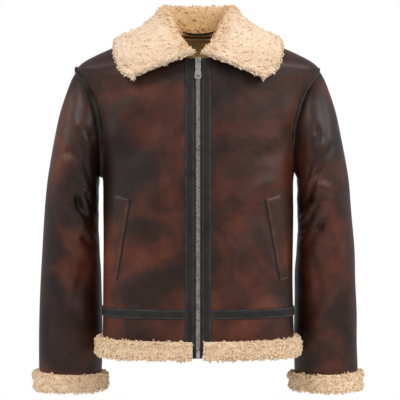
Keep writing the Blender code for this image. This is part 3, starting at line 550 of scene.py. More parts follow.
back_start = side_angle(panel_heights, False)
back_share = np.linspace(0, 1, BACK_COLUMNS + 1)
back_angles = back_start[:, None] + 2 * (math.pi - back_start)[:, None] * back_share
back_heights = np.repeat(panel_heights[:, None], len(back_share), axis=1)
back = panel("back_leather", back_angles, back_heights)
for face in back.data.polygons:
    if face.normal.y < -0.3 and face.center.z > 0.0:
        face.material_index = 1
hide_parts("back")

# Sleeves. Each is one piece of the same leather and fleece, its seam underneath, set in round the
# armhole. They hang a little forward, with slanting creases below the armpit and at the elbow.
SLEEVE_COLUMNS = ("outer_x", "outer_z", "inner_x", "inner_z", "mid_y", "half_depth")
SLEEVE_RINGS = (
    (0.2425, -0.0605, 0.1925, -0.266, -0.003, 0.057),
    (0.2540, -0.081, 0.1995, -0.280, -0.003, 0.070),
    (0.2660, -0.113, 0.2010, -0.301, -0.002, 0.080),
    (0.2780, -0.150, 0.2000, -0.322, 0.000, 0.084),
    (0.2880, -0.192, 0.2005, -0.345, 0.005, 0.085),
    (0.2970, -0.238, 0.2005, -0.372, 0.012, 0.084),
    (0.3050, -0.285, 0.2000, -0.402, 0.020, 0.082),
    (0.3115, -0.335, 0.1990, -0.437, 0.029, 0.079),
    (0.3165, -0.385, 0.1980, -0.473, 0.037, 0.077),
    (0.3200, -0.435, 0.1975, -0.508, 0.043, 0.075),
    (0.3225, -0.485, 0.1970, -0.543, 0.047, 0.073),
    (0.3245, -0.535, 0.1970, -0.578, 0.050, 0.072),
    (0.3260, -0.585, 0.1970, -0.612, 0.051, 0.071),
    (0.3265, -0.632, 0.1970, -0.645, 0.051, 0.070),
    (0.3265, -0.672, 0.1975, -0.676, 0.051, 0.069),
)
ARMHOLE_FADE = 3.2
# Large folds; around is 0 on the outer line, 90 in front, 180 inside and 270 behind
FOLD_COLUMNS = ("along", "around", "reach_along", "reach_around", "lean", "depth")
SLEEVE_FOLDS = (
    (2.6, 110, 0.55, 38, 1.0, 0.0045),
    (4.0, 125, 0.45, 42, 1.2, 0.0045),
    (5.3, 120, 0.45, 45, 1.1, 0.0055),
    (6.5, 115, 0.45, 42, 0.7, 0.0050),
    (8.0, 100, 0.55, 38, -0.5, 0.0035),
    (3.0, 245, 0.60, 40, -1.0, 0.0040),
    (4.8, 235, 0.50, 45, -1.1, 0.0050),
    (6.3, 240, 0.50, 42, -0.8, 0.0045),
    (10.4, 75, 0.80, 35, 0.6, 0.0025),
)
# Creases seen from the front, in the same columns as the body's
LEFT_SLEEVE_CREASES = (
    (0.210, -0.141, 0.008, 0.032, 0.008, 0.0039),
    (0.235, -0.187, 0.008, -0.014, 0.006, -0.0027),
    (0.238, -0.255, 0.026, 0.029, 0.006, -0.0051),
    (0.230, -0.232, 0.022, 0.024, 0.010, 0.0033),
    (0.236, -0.300, 0.030, -0.014, 0.010, 0.0072),
    (0.224, -0.333, 0.036, 0.019, 0.008, -0.0078),
    (0.218, -0.358, 0.022, 0.016, 0.008, 0.0057),
    (0.224, -0.382, 0.026, 0.022, 0.007, -0.0063),
    (0.258, -0.440, 0.003, 0.110, 0.014, 0.0045),
    (0.230, -0.470, 0.004, 0.080, 0.011, -0.0030),
    (0.285, -0.560, 0.010, 0.060, 0.014, -0.0021),
    (0.245, -0.600, 0.030, 0.012, 0.012, 0.0021),
)
RIGHT_SLEEVE_CREASES = (
    (0.213, -0.192, -0.012, -0.018, 0.007, -0.0063),
    (0.232, -0.180, -0.012, -0.022, 0.011, 0.0033),
    (0.252, -0.233, -0.016, -0.003, 0.006, -0.0033),
    (0.245, -0.262, -0.024, -0.012, 0.011, 0.0036),
    (0.227, -0.319, -0.019, -0.043, 0.009, -0.0093),
    (0.221, -0.306, -0.009, -0.006, 0.005, 0.0039),
    (0.247, -0.345, -0.016, -0.040, 0.012, 0.0039),
    (0.232, -0.402, -0.020, -0.009, 0.007, -0.0051),
    (0.236, -0.378, -0.022, -0.010, 0.009, 0.0048),
    (0.264, -0.490, -0.003, -0.100, 0.014, 0.0033),
    (0.235, -0.510, -0.004, -0.070, 0.012, -0.0027),
    (0.290, -0.600, -0.010, -0.050, 0.014, -0.0018),
)
BACK_SLEEVE_CREASES = (
    (0.225, -0.200, 0.020, 0.030, 0.010, -0.0045),
    (0.240, -0.270, 0.030, 0.020, 0.009, 0.0045),
    (0.232, -0.320, 0.034, 0.020, 0.009, -0.0063),
    (0.250, -0.375, 0.030, 0.014, 0.010, 0.0045),
    (0.240, -0.420, 0.030, 0.018, 0.009, -0.0048),
    (0.262, -0.530, 0.004, 0.090, 0.014, 0.0033),
)
SLEEVE_ROWS = 132
SLEEVE_AROUND = 116


def plain_sleeve(along, turn):
    """An even oval tube through the sleeve's rings; turn 0 is its outer line, then the front."""
    ring = table_at(SLEEVE_COLUMNS, SLEEVE_RINGS, np.arange(len(SLEEVE_RINGS)), along)
    outer_share = (1 + np.cos(turn)) / 2
    x = ring["inner_x"] + (ring["outer_x"] - ring["inner_x"]) * outer_share
    y = ring["mid_y"] - ring["half_depth"] * np.sin(turn)
    z = ring["inner_z"] + (ring["outer_z"] - ring["inner_z"]) * outer_share
    return np.stack([x, y, z], axis=-1)


def armhole_edge(turn, edge, out=0.0, side=1):
    """An edge round the armhole on the body's surface, by turns like a sleeve's."""
    turn = np.asarray(turn, float)
    z = np.clip(armhole_z(turn, edge), edge[1], edge[0])
    front = angle_at_y(armhole_reach(z, edge, True), z, True)
    back = angle_at_y(armhole_reach(z, edge, False), z, False)
    angle = side * np.where(np.sin(turn) >= 0, front, back)
    return mirrored(raised(body_surface, angle, z, side * out + np.zeros(turn.shape)), side)


def fold_depth(along, turn):
    """How far the sleeve's large folds sink below the even tube."""
    sunk = np.zeros(np.broadcast(along, turn).shape)
    degrees = np.degrees(turn) % 360
    for row in SLEEVE_FOLDS:
        fold = dict(zip(FOLD_COLUMNS, row))
        away = (degrees - fold["around"] + 180) % 360 - 180
        across = (along - fold["along"] - fold["lean"] * away / 90) / fold["reach_along"]
        sunk += fold["depth"] * np.exp(-across**2 - (away / fold["reach_around"]) ** 2)
    return sunk


def sleeve_surface_of(side, creases):
    """The outside of one sleeve, worked out on the left, from the armhole at 0 to the cuff."""
    def surface(along, turn):
        along, turn = np.broadcast_arrays(np.asarray(along, float), np.asarray(turn, float))
        fade = np.exp(-((along / ARMHOLE_FADE) ** 2) * 2)
        start = armhole_edge(turn, SLEEVE_EDGE, side=side) - plain_sleeve(np.zeros_like(along), turn)
        points = plain_sleeve(along, turn) + start * fade[..., None]
        outwards = np.stack([np.cos(turn), -np.sin(turn), 0.3 * np.cos(turn)], axis=-1)
        outwards /= np.linalg.norm(outwards, axis=-1, keepdims=True)
        hold = 1 - np.exp(-((along / 1.2) ** 2))
        to_front = np.clip(np.sin(turn) * 2, 0, 1)
        to_back = np.clip(-np.sin(turn) * 2, 0, 1)
        rise = crease_height(points, creases) * to_front
        rise = rise + crease_height(points, BACK_SLEEVE_CREASES) * to_back
        rise = rise + 0.0006 * wander(points, 0.10, 20 + side) - fold_depth(along, turn) * hold
        return points + outwards * (rise * (1 - np.exp(-((along / 0.9) ** 2))))[..., None]
    return surface


last_ring = len(SLEEVE_RINGS) - 1
sleeve_along, sleeve_turn = np.meshgrid(
    np.linspace(0.012, last_ring, SLEEVE_ROWS),
    np.linspace(0, 2 * math.pi, SLEEVE_AROUND, endpoint=False), indexing="ij")
sleeve_sides = (
    ("left", 1, sleeve_surface_of(1, LEFT_SLEEVE_CREASES)),
    ("right", -1, sleeve_surface_of(-1, RIGHT_SLEEVE_CREASES)),
)
for sleeve_name, sleeve_side, sleeve_surface in sleeve_sides:
    flat_sleeve = sleeve_surface(sleeve_along, sleeve_turn)
    edge_away = edge_distance(flat_sleeve, ring=True)
    sleeve_sink = SEAM_SINK * np.exp(-((edge_away / SEAM_REACH) ** 2))
    # The normal of this surface points into the sleeve.
    outer_sleeve = raised(sleeve_surface, sleeve_along, sleeve_turn, sleeve_sink)
    inner_sleeve = raised(sleeve_surface, sleeve_along, sleeve_turn, np.full(sleeve_along.shape, WALL))
    shift = np.array([SEAM_GAP, 0, 0])
    sleeve = wall_piece(
        f"sleeve_{sleeve_name}_leather", mirrored(outer_sleeve + shift, sleeve_side),
        mirrored(inner_sleeve + shift, sleeve_side), [BROWN, LINING], ring=True,
        values={"wear": edge_wear(flat_sleeve, edge_away)})
    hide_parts(f"sleeve_{sleeve_name}")

# Waistband. One strip of the same leather round the body between the waist seam and the fleece
# hem, open at the zip, sewn below the fronts and the back.
LEATHER_HEM = -0.5952
WAIST_ROWS = 14
ROUND_COLUMNS = 240


def round_angles(x_start, z, count):
    """Angles right round the body, from one front edge to the other."""
    start = float(angle_at_x(x_start, z))
    return np.linspace(start, 2 * math.pi - start, count)


waist_heights, waist_angles = np.meshgrid(
    np.linspace(WAIST_SEAM - SEAM_GAP / 2, LEATHER_HEM, WAIST_ROWS),
    round_angles(FRONT_EDGE, WAIST_SEAM, ROUND_COLUMNS), indexing="ij")
waistband = panel("waistband_leather", waist_angles, waist_heights)
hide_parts("waistband")


# Armhole strips. A narrow band of black pebbled leather is let in between body and sleeve all
# round each armhole, plump along its middle, with a row of stitching on the body's side.
BINDING_OUTER = (-0.0556, -0.2774, 0.0714, 0.0654)
BINDING_INNER = (-0.0600, -0.2665, 0.0605, 0.0545)
BINDING_CROWN = 0.0024
BINDING_RISE = 0.0009
BINDING_FADE = 1.15
BINDING_COLUMNS = 9
BINDING_TURNS = 260


def black_leather(name):
    """Soft black leather with a pebbled grain, duller than the brown and greyed by wear."""
    finish, tree, surface = finish_for(name)
    make = node_maker(tree)
    place = make("ShaderNodeTexCoord").outputs["Object"]
    clouds = make("ShaderNodeTexNoise", Vector=place, Scale=30.0, Detail=4.0)
    surface_colour = ramp(make, clouds.outputs["Fac"], (
        (0.3, (0.0105, 0.0100, 0.0095)), (0.7, (0.0240, 0.0225, 0.0205))))
    worn = make("ShaderNodeAttribute", {"attribute_name": "wear"})
    rubbed = make("ShaderNodeMix", {"data_type": "RGBA"})
    tree.links.new(worn.outputs["Fac"], rubbed.inputs[0])
    tree.links.new(surface_colour, rubbed.inputs[6])
    rubbed.inputs[7].default_value = (0.060, 0.052, 0.045, 1.0)
    tree.links.new(rubbed.outputs[2], surface.inputs["Base Color"])
    pebbles = make("ShaderNodeTexVoronoi", {"feature": "SMOOTH_F1"}, Vector=place, Scale=430.0)
    wrinkles = make("ShaderNodeTexNoise", Vector=place, Scale=150.0, Detail=4.0)
    relief = make("ShaderNodeMath", {"operation": "MULTIPLY_ADD"}, _0=pebbles.outputs["Distance"], _1=-1.4)
    tree.links.new(wrinkles.outputs["Fac"], relief.inputs[2])
    bump = make("ShaderNodeBump", Strength=0.55, Distance=0.0009, Height=relief.outputs[0])
    tree.links.new(bump.outputs[0], surface.inputs["Normal"])
    surface.inputs["Roughness"].default_value = 0.50
    surface.inputs["Specular IOR Level"].default_value = 0.22
    return finish


BLACK = black_leather("pebbled_black_leather")
# Brown thread a little lighter than the leather: partly the thread's own colour, partly painted sheen along the seams.
BROWN_THREAD_PAINTED_SHEEN, sheen_thread_tree, sheen_thread_surface = finish_for("brown_thread_painted_sheen")
sheen_thread_surface.inputs["Base Color"].default_value = (0.085, 0.045, 0.032, 1.0)
sheen_thread_surface.inputs["Roughness"].default_value = 0.55
sheen_thread_surface.inputs["Sheen Weight"].default_value = 0.4
DARK_THREAD, dark_tree, dark_surface = finish_for("waxed_black_thread")
dark_surface.inputs["Base Color"].default_value = (0.030, 0.028, 0.027, 1.0)
dark_surface.inputs["Roughness"].default_value = 0.5
dark_surface.inputs["Sheen Weight"].default_value = 0.4
STITCH_PITCH = 0.0038
STITCH_LENGTH = 0.0029
STITCH_HALF = 0.00042
STITCH_LIFT = 0.00012


def stitch_rows(name, rows, finish):
    """One joined mesh of stitches along rows of points; each row has points and normals."""
    ring = np.array([(1, 0), (0, 0.8), (-1, 0), (0, -0.45)]) * STITCH_HALF
    shape = [(-0.5, 0.0, 0.0)]
    shape += [(-0.28, *pair) for pair in ring] + [(0.28, *pair) for pair in ring] + [(0.5, 0.0, 0.0)]
    shape = np.array(shape)
    faces = [(0, 1 + k, 1 + (k + 1) % 4) for k in range(4)]
    faces += [(1 + k, 5 + k, 5 + (k + 1) % 4, 1 + (k + 1) % 4) for k in range(4)]
    faces += [(9, 5 + (k + 1) % 4, 5 + k) for k in range(4)]
    points, all_faces = [], []
    for path, normals in rows:
        steps = np.linalg.norm(np.diff(path, axis=0), axis=1)
        lengths = np.concatenate([[0], np.cumsum(steps)])
        count = int(lengths[-1] / STITCH_PITCH)
        at = (np.arange(count) + 0.5) * STITCH_PITCH
        spot = np.stack([np.interp(at, lengths, path[:, k]) for k in range(3)], axis=1)
        up = np.stack([np.interp(at, lengths, normals[:, k]) for k in range(3)], axis=1)
        up /= np.linalg.norm(up, axis=1, keepdims=True)
        ahead = np.stack([np.interp(at + STITCH_PITCH / 4, lengths, path[:, k]) for k in range(3)], axis=1)
        ahead = ahead - np.stack([np.interp(at - STITCH_PITCH / 4, lengths, path[:, k]) for k in range(3)], axis=1)
        ahead /= np.linalg.norm(ahead, axis=1, keepdims=True)
        over = np.cross(up, ahead)
        for centre, way, rise, side in zip(spot, ahead, up, over):
            start = len(points) * len(shape)
            points.append(centre + rise * STITCH_LIFT + shape[:, :1] * STITCH_LENGTH * way
                          + shape[:, 1:2] * side + shape[:, 2:] * rise)
            all_faces += [tuple(start + corner for corner in face) for face in faces]
    piece = mesh_piece(name, np.concatenate(points), all_faces, [finish])
    return piece


def surface_row(surface, u, v, out, side=1):
    """A row of points and normals on a surface, for stitching."""
    normal = normals_of(surface, u, v)
    return mirrored(surface(u, v) + normal * out, side), mirrored(normal, side)


binding_turn, binding_across = np.meshgrid(
    np.linspace(0, 2 * math.pi, BINDING_TURNS, endpoint=False),
    np.linspace(0, 1, BINDING_COLUMNS), indexing="ij")
binding_gap = np.array(BINDING_OUTER) - np.array(BINDING_INNER)


def binding_edge(turns, across, out, side):
    return armhole_edge(turns, tuple(np.array(BINDING_INNER) + binding_gap * across), out, side)


for binding_name, binding_side in (("left", 1), ("right", -1)):
    binding_rows = []
    turns = binding_turn[:, 0]
    flat_below = np.clip(BINDING_FADE + np.cos(turns), 0, 1)
    for across in binding_across[0]:
        crown = (BINDING_RISE + (BINDING_CROWN - BINDING_RISE) * math.sin(math.pi * across)) * flat_below
        crown = crown + 0.00025 * np.sin(turns * 57 + 3 * across) * math.sin(math.pi * across)
        binding_rows.append(binding_edge(turns, across, crown, binding_side))
    under_rows = [binding_edge(turns, across, np.full(BINDING_TURNS, -WALL), binding_side)
                  for across in binding_across[0]]
    outer_binding = mirrored(np.stack(binding_rows), binding_side)
    inner_binding = mirrored(np.stack(under_rows), binding_side)
    binding = wall_piece(f"armhole_strip_{binding_name}", outer_binding, inner_binding, [BLACK], ring=True,
                         values={"wear": edge_wear(outer_binding, edge_distance(outer_binding, True))})
    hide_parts(f"armhole_binding_{binding_name}")

# Collar. A wide turned-down collar of shearling, cream curly fleece outside and brown skin below.
# It stands up at the back of the neck, rolls over and lies on the shoulders, with rounded tips.
COLLAR_COLUMNS = (
    "neck", "seam", "roll_x", "roll_y", "roll_z", "edge_x", "edge_y", "edge_z", "face_x", "face_y", "face_z",
)
COLLAR_ROWS = (
    (0.00, 0.000, 0.000, 0.070, 0.0665, 0.000, 0.124, -0.040, 0.00, 0.89, 0.45),
    (0.13, 0.120, 0.036, 0.067, 0.0665, 0.056, 0.122, -0.040, 0.12, 0.87, 0.48),
    (0.25, 0.220, 0.063, 0.053, 0.0655, 0.105, 0.104, -0.036, 0.34, 0.77, 0.53),
    (0.37, 0.310, 0.072, 0.027, 0.0610, 0.140, 0.068, -0.026, 0.52, 0.52, 0.66),
    (0.48, 0.385, 0.068, 0.000, 0.0520, 0.155, 0.028, -0.008, 0.55, 0.14, 0.82),
    (0.58, 0.455, 0.060, -0.028, 0.0360, 0.157, -0.012, -0.003, 0.48, -0.18, 0.86),
    (0.68, 0.560, 0.051, -0.055, 0.0150, 0.156, -0.050, -0.018, 0.34, -0.44, 0.83),
    (0.77, 0.680, 0.043, -0.080, -0.0060, 0.154, -0.080, -0.038, 0.22, -0.65, 0.73),
    (0.86, 0.800, 0.033, -0.106, -0.0230, 0.149, -0.104, -0.058, 0.15, -0.87, 0.47),
    (0.94, 0.910, 0.024, -0.123, -0.0345, 0.140, -0.121, -0.075, 0.10, -0.97, 0.22),
    (1.00, 1.000, 0.017, -0.134, -0.0420, 0.122, -0.131, -0.082, 0.10, -0.98, 0.18),
)
COLLAR_ROLL = 0.0062
COLLAR_STAND_WALL = 0.009
COLLAR_LEAF_WALL = 0.011
COLLAR_LIFT = 0.0018
COLLAR_SEAM_RISE = 0.0040
COLLAR_FRONT_RISE = 0.0030
COLLAR_FRONT_LIFT = 0.0060
COLLAR_TUCK = 0.012
COLLAR_TUCK_DEPTH = 0.0071
COLLAR_STAND_PARTS = (0.0, 0.5)
COLLAR_ROLL_PARTS = (0.0, 0.25, 0.5, 0.75, 1.0)
COLLAR_LEAF_PARTS = (0.2, 0.4, 0.6, 0.8, 1.0)
COLLAR_STATIONS = 36
COLLAR_ALONG = 260
FLEECE_ACROSS = 126
SKIN_ACROSS = 24
FLEECE_OVER_TIP = 0.014
COLLAR_SEAM_IN = 0.019
COLLAR_STAND_BACK = 0.016
CURL_SIZE = 0.0062
CURL_HEIGHT = 0.0020
WISP_SIZE = 0.0036
WISP_HEIGHT = 0.0012


def body_distance(point):
    """Roughly how far a point lies outside the body's leather, and the way out."""
    def level(place):
        half, side, front, back = body_ring(min(place[2], BODY_RINGS[0][0]))
        reach = (side - front) if place[1] < side else (back - side)
        spread = (abs(place[0]) / half) ** ROUNDNESS + (abs(place[1] - side) / reach) ** ROUNDNESS
        return spread ** (1 / ROUNDNESS) - 1

    step = 5e-4
    slope = np.array([
        level(point + step * way) - level(point - step * way) for way in np.eye(3)
    ]) / (2 * step)
    steepness = np.linalg.norm(slope)
    return level(point) / steepness, slope / steepness


def clear_of_body(point, gap):
    """The point, moved out until it is this far off the body."""
    for _ in range(6):
        distance, way = body_distance(point)
        if point[2] > NECK_TOP + gap or distance >= gap:
            break
        point = point + way * min(gap - distance, gap)
    return point


def neckline(share):
    """The body's neckline, from the middle of the back to the front end on the left."""
    back_turns = np.linspace(math.pi, math.pi / 2, 20)
    back_part = raised(body_surface, back_turns, NECK_TOP, np.full(20, -WALL / 2))
    heights = NECK_TOP - (NECK_TOP - NECK_FRONT) * np.linspace(0.05, 1, 24) ** 2
    turns = angle_at_x(neck_x(heights), heights)
    front_part = raised(body_surface, turns, heights, np.full(24, -WALL / 2))
    path = np.concatenate([back_part, front_part])
    lengths = np.concatenate([[0], np.cumsum(np.linalg.norm(np.diff(path, axis=0), axis=1))])
    return np.array([np.interp(share * lengths[-1], lengths, path[:, k]) for k in range(3)])


def eased(part):
    """A smooth step from 0 to 1."""
    part = min(max(part, 0.0), 1.0)
    return part * part * (3 - 2 * part)


def collar_section(share):
    """One closed outline across the collar: fleece side out from the seam, leather side back."""
    places = [row[0] for row in COLLAR_ROWS]
    row = table_at(COLLAR_COLUMNS, COLLAR_ROWS, places, share)
    roll = np.array([row["roll_x"], row["roll_y"], row["roll_z"]])
    edge = np.array([row["edge_x"], row["edge_y"], row["edge_z"]])
    face = np.array([row["face_x"], row["face_y"], row["face_z"]])
    to_edge = edge - roll
    edge_length = np.linalg.norm(to_edge)
    first = to_edge / edge_length
    second = first * np.dot(face, first) - face
    second /= np.linalg.norm(second)
    seam = neckline(float(row["seam"]))
    seam[2] += COLLAR_FRONT_LIFT * share**4
    rise = COLLAR_SEAM_RISE + COLLAR_FRONT_RISE * share
    seam = seam + (roll - seam) / np.linalg.norm(roll - seam) * rise
    # In front the stand is folded flat and tucked in under the leaf.
    tucked = first * COLLAR_TUCK * eased((0.95 - share) / 0.10) + second * COLLAR_TUCK_DEPTH
    folded = eased((share - 0.46) / 0.16) * eased((1.0 - share) / 0.05)
    to_seam = (seam - roll) * (1 - folded) + tucked * folded
    seam = roll + to_seam
    seam_length = np.linalg.norm(to_seam)
    seam_turn = math.atan2(np.dot(to_seam, second), np.dot(to_seam, first))
    from_edge = -math.acos(COLLAR_ROLL / edge_length)
    from_seam = seam_turn + math.acos(min(COLLAR_ROLL / seam_length, 1.0)) - 2 * math.pi

    def on_roll(turn):
        return first * math.cos(turn) + second * math.sin(turn)

    top = roll + on_roll(from_seam) * COLLAR_ROLL
    low = roll + on_roll(from_edge) * COLLAR_ROLL
    centre = []
    normals = []
    for part in COLLAR_STAND_PARTS:
        centre.append(seam + (top - seam) * part)
        normals.append(on_roll(from_seam))
    for part in COLLAR_ROLL_PARTS:
        turn = from_seam + (from_edge - from_seam) * part
        centre.append(roll + on_roll(turn) * COLLAR_ROLL)
        normals.append(on_roll(turn))
    for part in COLLAR_LEAF_PARTS:
        centre.append(low + (edge - low) * part)
        normals.append(on_roll(from_edge))
    rolled = len(COLLAR_STAND_PARTS) + len(COLLAR_ROLL_PARTS)
    half = [COLLAR_STAND_WALL / 2] * rolled + [COLLAR_LEAF_WALL / 2] * len(COLLAR_LEAF_PARTS)
    for place in range(rolled, len(centre)):
        centre[place] = clear_of_body(centre[place], half[place] + COLLAR_LIFT)
    across = np.cross(first, second)
    for place in range(rolled, len(centre)):
        ahead = centre[min(place + 1, len(centre) - 1)] - centre[place - 1]
        normal = np.cross(ahead, across)
        normal /= np.linalg.norm(normal)
        normals[place] = normal if np.dot(normal, normals[place]) > 0 else -normal
    fleece = [spot + way * size for spot, way, size in zip(centre, normals, half)]
    leather = [spot - way * size for spot, way, size in zip(centre, normals, half)]
    ahead = centre[-1] - centre[-2]
    ahead /= np.linalg.norm(ahead)
    tip = [
        centre[-1] + (ahead * math.cos(turn) + normals[-1] * math.sin(turn)) * half[-1]
        for turn in (0.9, 0.0, -0.9)
    ]
    return np.array(fleece + tip + leather[::-1])


def cell_noise(points, size, seed):
    """Distances to the nearest and the next of scattered centres, in sizes of their spacing."""
    table = np.random.default_rng(seed).random((4096, 3))
    base = np.floor(points / size).astype(np.int64)
    nearest = np.full(points.shape[:-1], 9.0)
    following = nearest.copy()
    for step in range(27):
        cell = base + np.array([step % 3 - 1, step // 3 % 3 - 1, step // 9 - 1])
        key = (cell[..., 0] * 73856093 ^ cell[..., 1] * 19349663 ^ cell[..., 2] * 83492791) & 4095
        away = np.linalg.norm(points / size - cell - table[key], axis=-1)
        following = np.minimum(following, np.maximum(nearest, away))
        nearest = np.minimum(nearest, away)
    return nearest, following


def curls(points, seed):
    """Height of curly fleece over its skin, and painted shade for its colour, 0 to 1: low between the curls, high on
    their tops.
    """
    drift = np.stack([wander(points, 0.02, seed + k) for k in range(3)], axis=-1)
    nearest, following = cell_noise(points + 0.0022 * drift, CURL_SIZE, seed)
    dome = np.sqrt(np.clip(1 - (nearest / 0.95) ** 2, 0, 1))
    parting = np.clip((following - nearest) / 0.22, 0, 1)
    near_wisp, next_wisp = cell_noise(points + 0.0008 * drift, WISP_SIZE, seed + 9)
    wisp = np.sqrt(np.clip(1 - (near_wisp / 0.95) ** 2, 0, 1)) * np.clip((next_wisp - near_wisp) / 0.3, 0.3, 1)
    lump_and_shade = dome * (0.45 + 0.55 * parting)
    patch = 0.8 + 0.3 * wander(points, 0.05, seed + 5)
    height = CURL_HEIGHT * (lump_and_shade - 0.55) * patch + WISP_HEIGHT * (wisp - 0.5)
    # Painted shade: paler on the tops of curls and wisps, darker in the hollows between them.
    shade = np.clip(0.15 + 0.62 * lump_and_shade + 0.30 * wisp, 0, 1)
    return height, shade


def grid_normals(grid, ring):
    """Outward normals of a loft whose rows are closed outlines."""
    over = np.roll(grid, -1, axis=1) - np.roll(grid, 1, axis=1)
    if ring:
        along = np.roll(grid, -1, axis=0) - np.roll(grid, 1, axis=0)
    else:
        along = np.gradient(grid, axis=0)
    normal = np.cross(along, over)
    normal /= np.linalg.norm(normal, axis=-1, keepdims=True) + 1e-12
    away = grid - grid.mean(axis=1, keepdims=True)
    return normal if (normal * away).sum() > 0 else -normal


def loft_faces(rows, columns, ring):
    """Faces round a loft of closed outlines, and the fans that close its ends."""
    last = rows if ring else rows - 1
    row, column = np.meshgrid(np.arange(last), np.arange(columns), indexing="ij")
    after = (column + 1) % columns
    below = (row + 1) % rows
    corners = [row * columns + column, row * columns + after, below * columns + after, below * columns + column]
    faces = np.stack(corners, axis=-1).reshape(-1, 4).tolist()
    if not ring:
        first, end = rows * columns, rows * columns + 1
        low = (rows - 1) * columns
        faces += [(first, (k + 1) % columns, k) for k in range(columns)]
        faces += [(end, low + k, low + (k + 1) % columns) for k in range(columns)]
    return faces


def volume_of(points, faces):
    total = 0.0
    for face in faces:
        corners = points[list(face)]
        for k in range(1, len(face) - 1):
            total += np.dot(corners[0], np.cross(corners[k], corners[k + 1]))
    return total


def fleece_piece(name, grid, ring, finishes, hair, slots_for, values, seed):
    """A closed loft whose outlines are roughened into curls where the hair is 1."""
    height, shade = curls(grid, seed)
    lofted = grid + grid_normals(grid, ring) * (height * hair)[..., None]
    rows, columns = grid.shape[:2]
    faces = loft_faces(rows, columns, ring)
    points = lofted.reshape(-1, 3)
    layers = {"curl": shade.reshape(-1), **{key: value.reshape(-1) for key, value in values.items()}}
    if not ring:
        ends = np.stack([lofted[0].mean(axis=0), lofted[-1].mean(axis=0)])
        points = np.concatenate([points, ends])
        layers = {key: np.concatenate([value, [value[0], value[-1]]]) for key, value in layers.items()}
    if volume_of(points, faces[:: 7]) < 0:
        faces = [face[::-1] for face in faces]
    slots = np.zeros(len(faces), np.int32)
    slots[: (rows if ring else rows - 1) * columns] = np.tile(slots_for, rows if ring else rows - 1)
    return mesh_piece(name, points, faces, finishes, slots, layers)


LOCK_SIDES = 5
LOCK_RINGS = ((0.0, 1.0), (0.35, 1.15), (0.70, 0.8), (1.0, 0.15))
LOCK_LENGTH = 0.0062
LOCK_HALF = 0.0015


def locks(name, roots, normals, ways, finish, slot_name, seed, size=1.0, gold=0.0):
    """Small curled tufts growing from the skin, as one joined mesh."""
    chance = np.random.default_rng(seed)
    count = len(roots)
    length = LOCK_LENGTH * size * chance.uniform(0.6, 1.3, count)
    half = LOCK_HALF * size**0.5 * chance.uniform(0.7, 1.25, count)
    lean = ways + chance.normal(scale=0.55, size=(count, 3))
    lean -= normals * (lean * normals).sum(axis=1, keepdims=True)
    lean /= np.linalg.norm(lean, axis=1, keepdims=True) + 1e-9
    over = np.cross(normals, lean)
    turn = chance.uniform(0.9, 2.3, count)
    twist = chance.uniform(-1, 1, count)
    rings = []
    for part, wide in LOCK_RINGS:
        bend = turn * part
        rise = np.sin(bend) / turn
        reach = (1 - np.cos(bend)) / turn
        centre = roots + (normals * rise[:, None] + lean * reach[:, None]
                          + over * (0.35 * twist * part**2)[:, None]) * length[:, None]
        first = normals * np.sin(bend)[:, None] * -1 + lean * np.cos(bend)[:, None]
        for k in range(LOCK_SIDES):
            around = 2 * math.pi * k / LOCK_SIDES
            rings.append(centre + (first * math.cos(around) + over * math.sin(around)) * (half * wide)[:, None])
    points = np.stack(rings, axis=1).reshape(-1, 3)
    each = len(LOCK_RINGS) * LOCK_SIDES
    faces = []
    for ring in range(len(LOCK_RINGS) - 1):
        for k in range(LOCK_SIDES):
            low, high = ring * LOCK_SIDES, (ring + 1) * LOCK_SIDES
            faces.append((low + k, low + (k + 1) % LOCK_SIDES, high + (k + 1) % LOCK_SIDES, high + k))
    faces = np.array(faces)
    all_faces = (faces[None] + (np.arange(count) * each)[:, None, None]).reshape(-1, 4).tolist()
    top = each - LOCK_SIDES
    all_faces += [tuple(lock * each + top + k for k in range(LOCK_SIDES)) for lock in range(count)]
    all_faces += [tuple(lock * each + k for k in reversed(range(LOCK_SIDES))) for lock in range(count)]
    # Painted shade: each tuft is darker at its root and paler towards its tip, with a random tone per tuft.
    root_shade_and_tone = np.tile(np.repeat([part for part, _ in LOCK_RINGS], LOCK_SIDES), count)
    root_shade_and_tone = 0.62 + 0.38 * root_shade_and_tone + np.repeat(chance.uniform(-0.12, 0.12, count), each)
    piece = mesh_piece(name, points, all_faces, [finish], values={"curl": root_shade_and_tone, "gold": np.repeat(np.broadcast_to(gold, count), each)})
    return piece


def roots_on(grid, ring, weight, count, seed):
    """Places, normals and across directions picked on a loft, more where the weight is high."""
    chance = np.random.default_rng(seed)
    normal = grid_normals(grid, ring).reshape(-1, 3)
    over = (np.roll(grid, -1, axis=1) - np.roll(grid, 1, axis=1)).reshape(-1, 3)
    over /= np.linalg.norm(over, axis=1, keepdims=True) + 1e-12
    share = weight.reshape(-1) / weight.sum()
    picked = chance.choice(len(share), size=count, p=share)
    spot = grid.reshape(-1, 3)[picked] + chance.normal(scale=0.0006, size=(count, 3))
    return spot - normal[picked] * 0.0008, normal[picked], over[picked], picked


COLLAR_FLEECE = fleece_finish("cream_collar_fleece", (0.58, 0.37, 0.20), (0.80, 0.57, 0.38), (0.90, 0.72, 0.54))

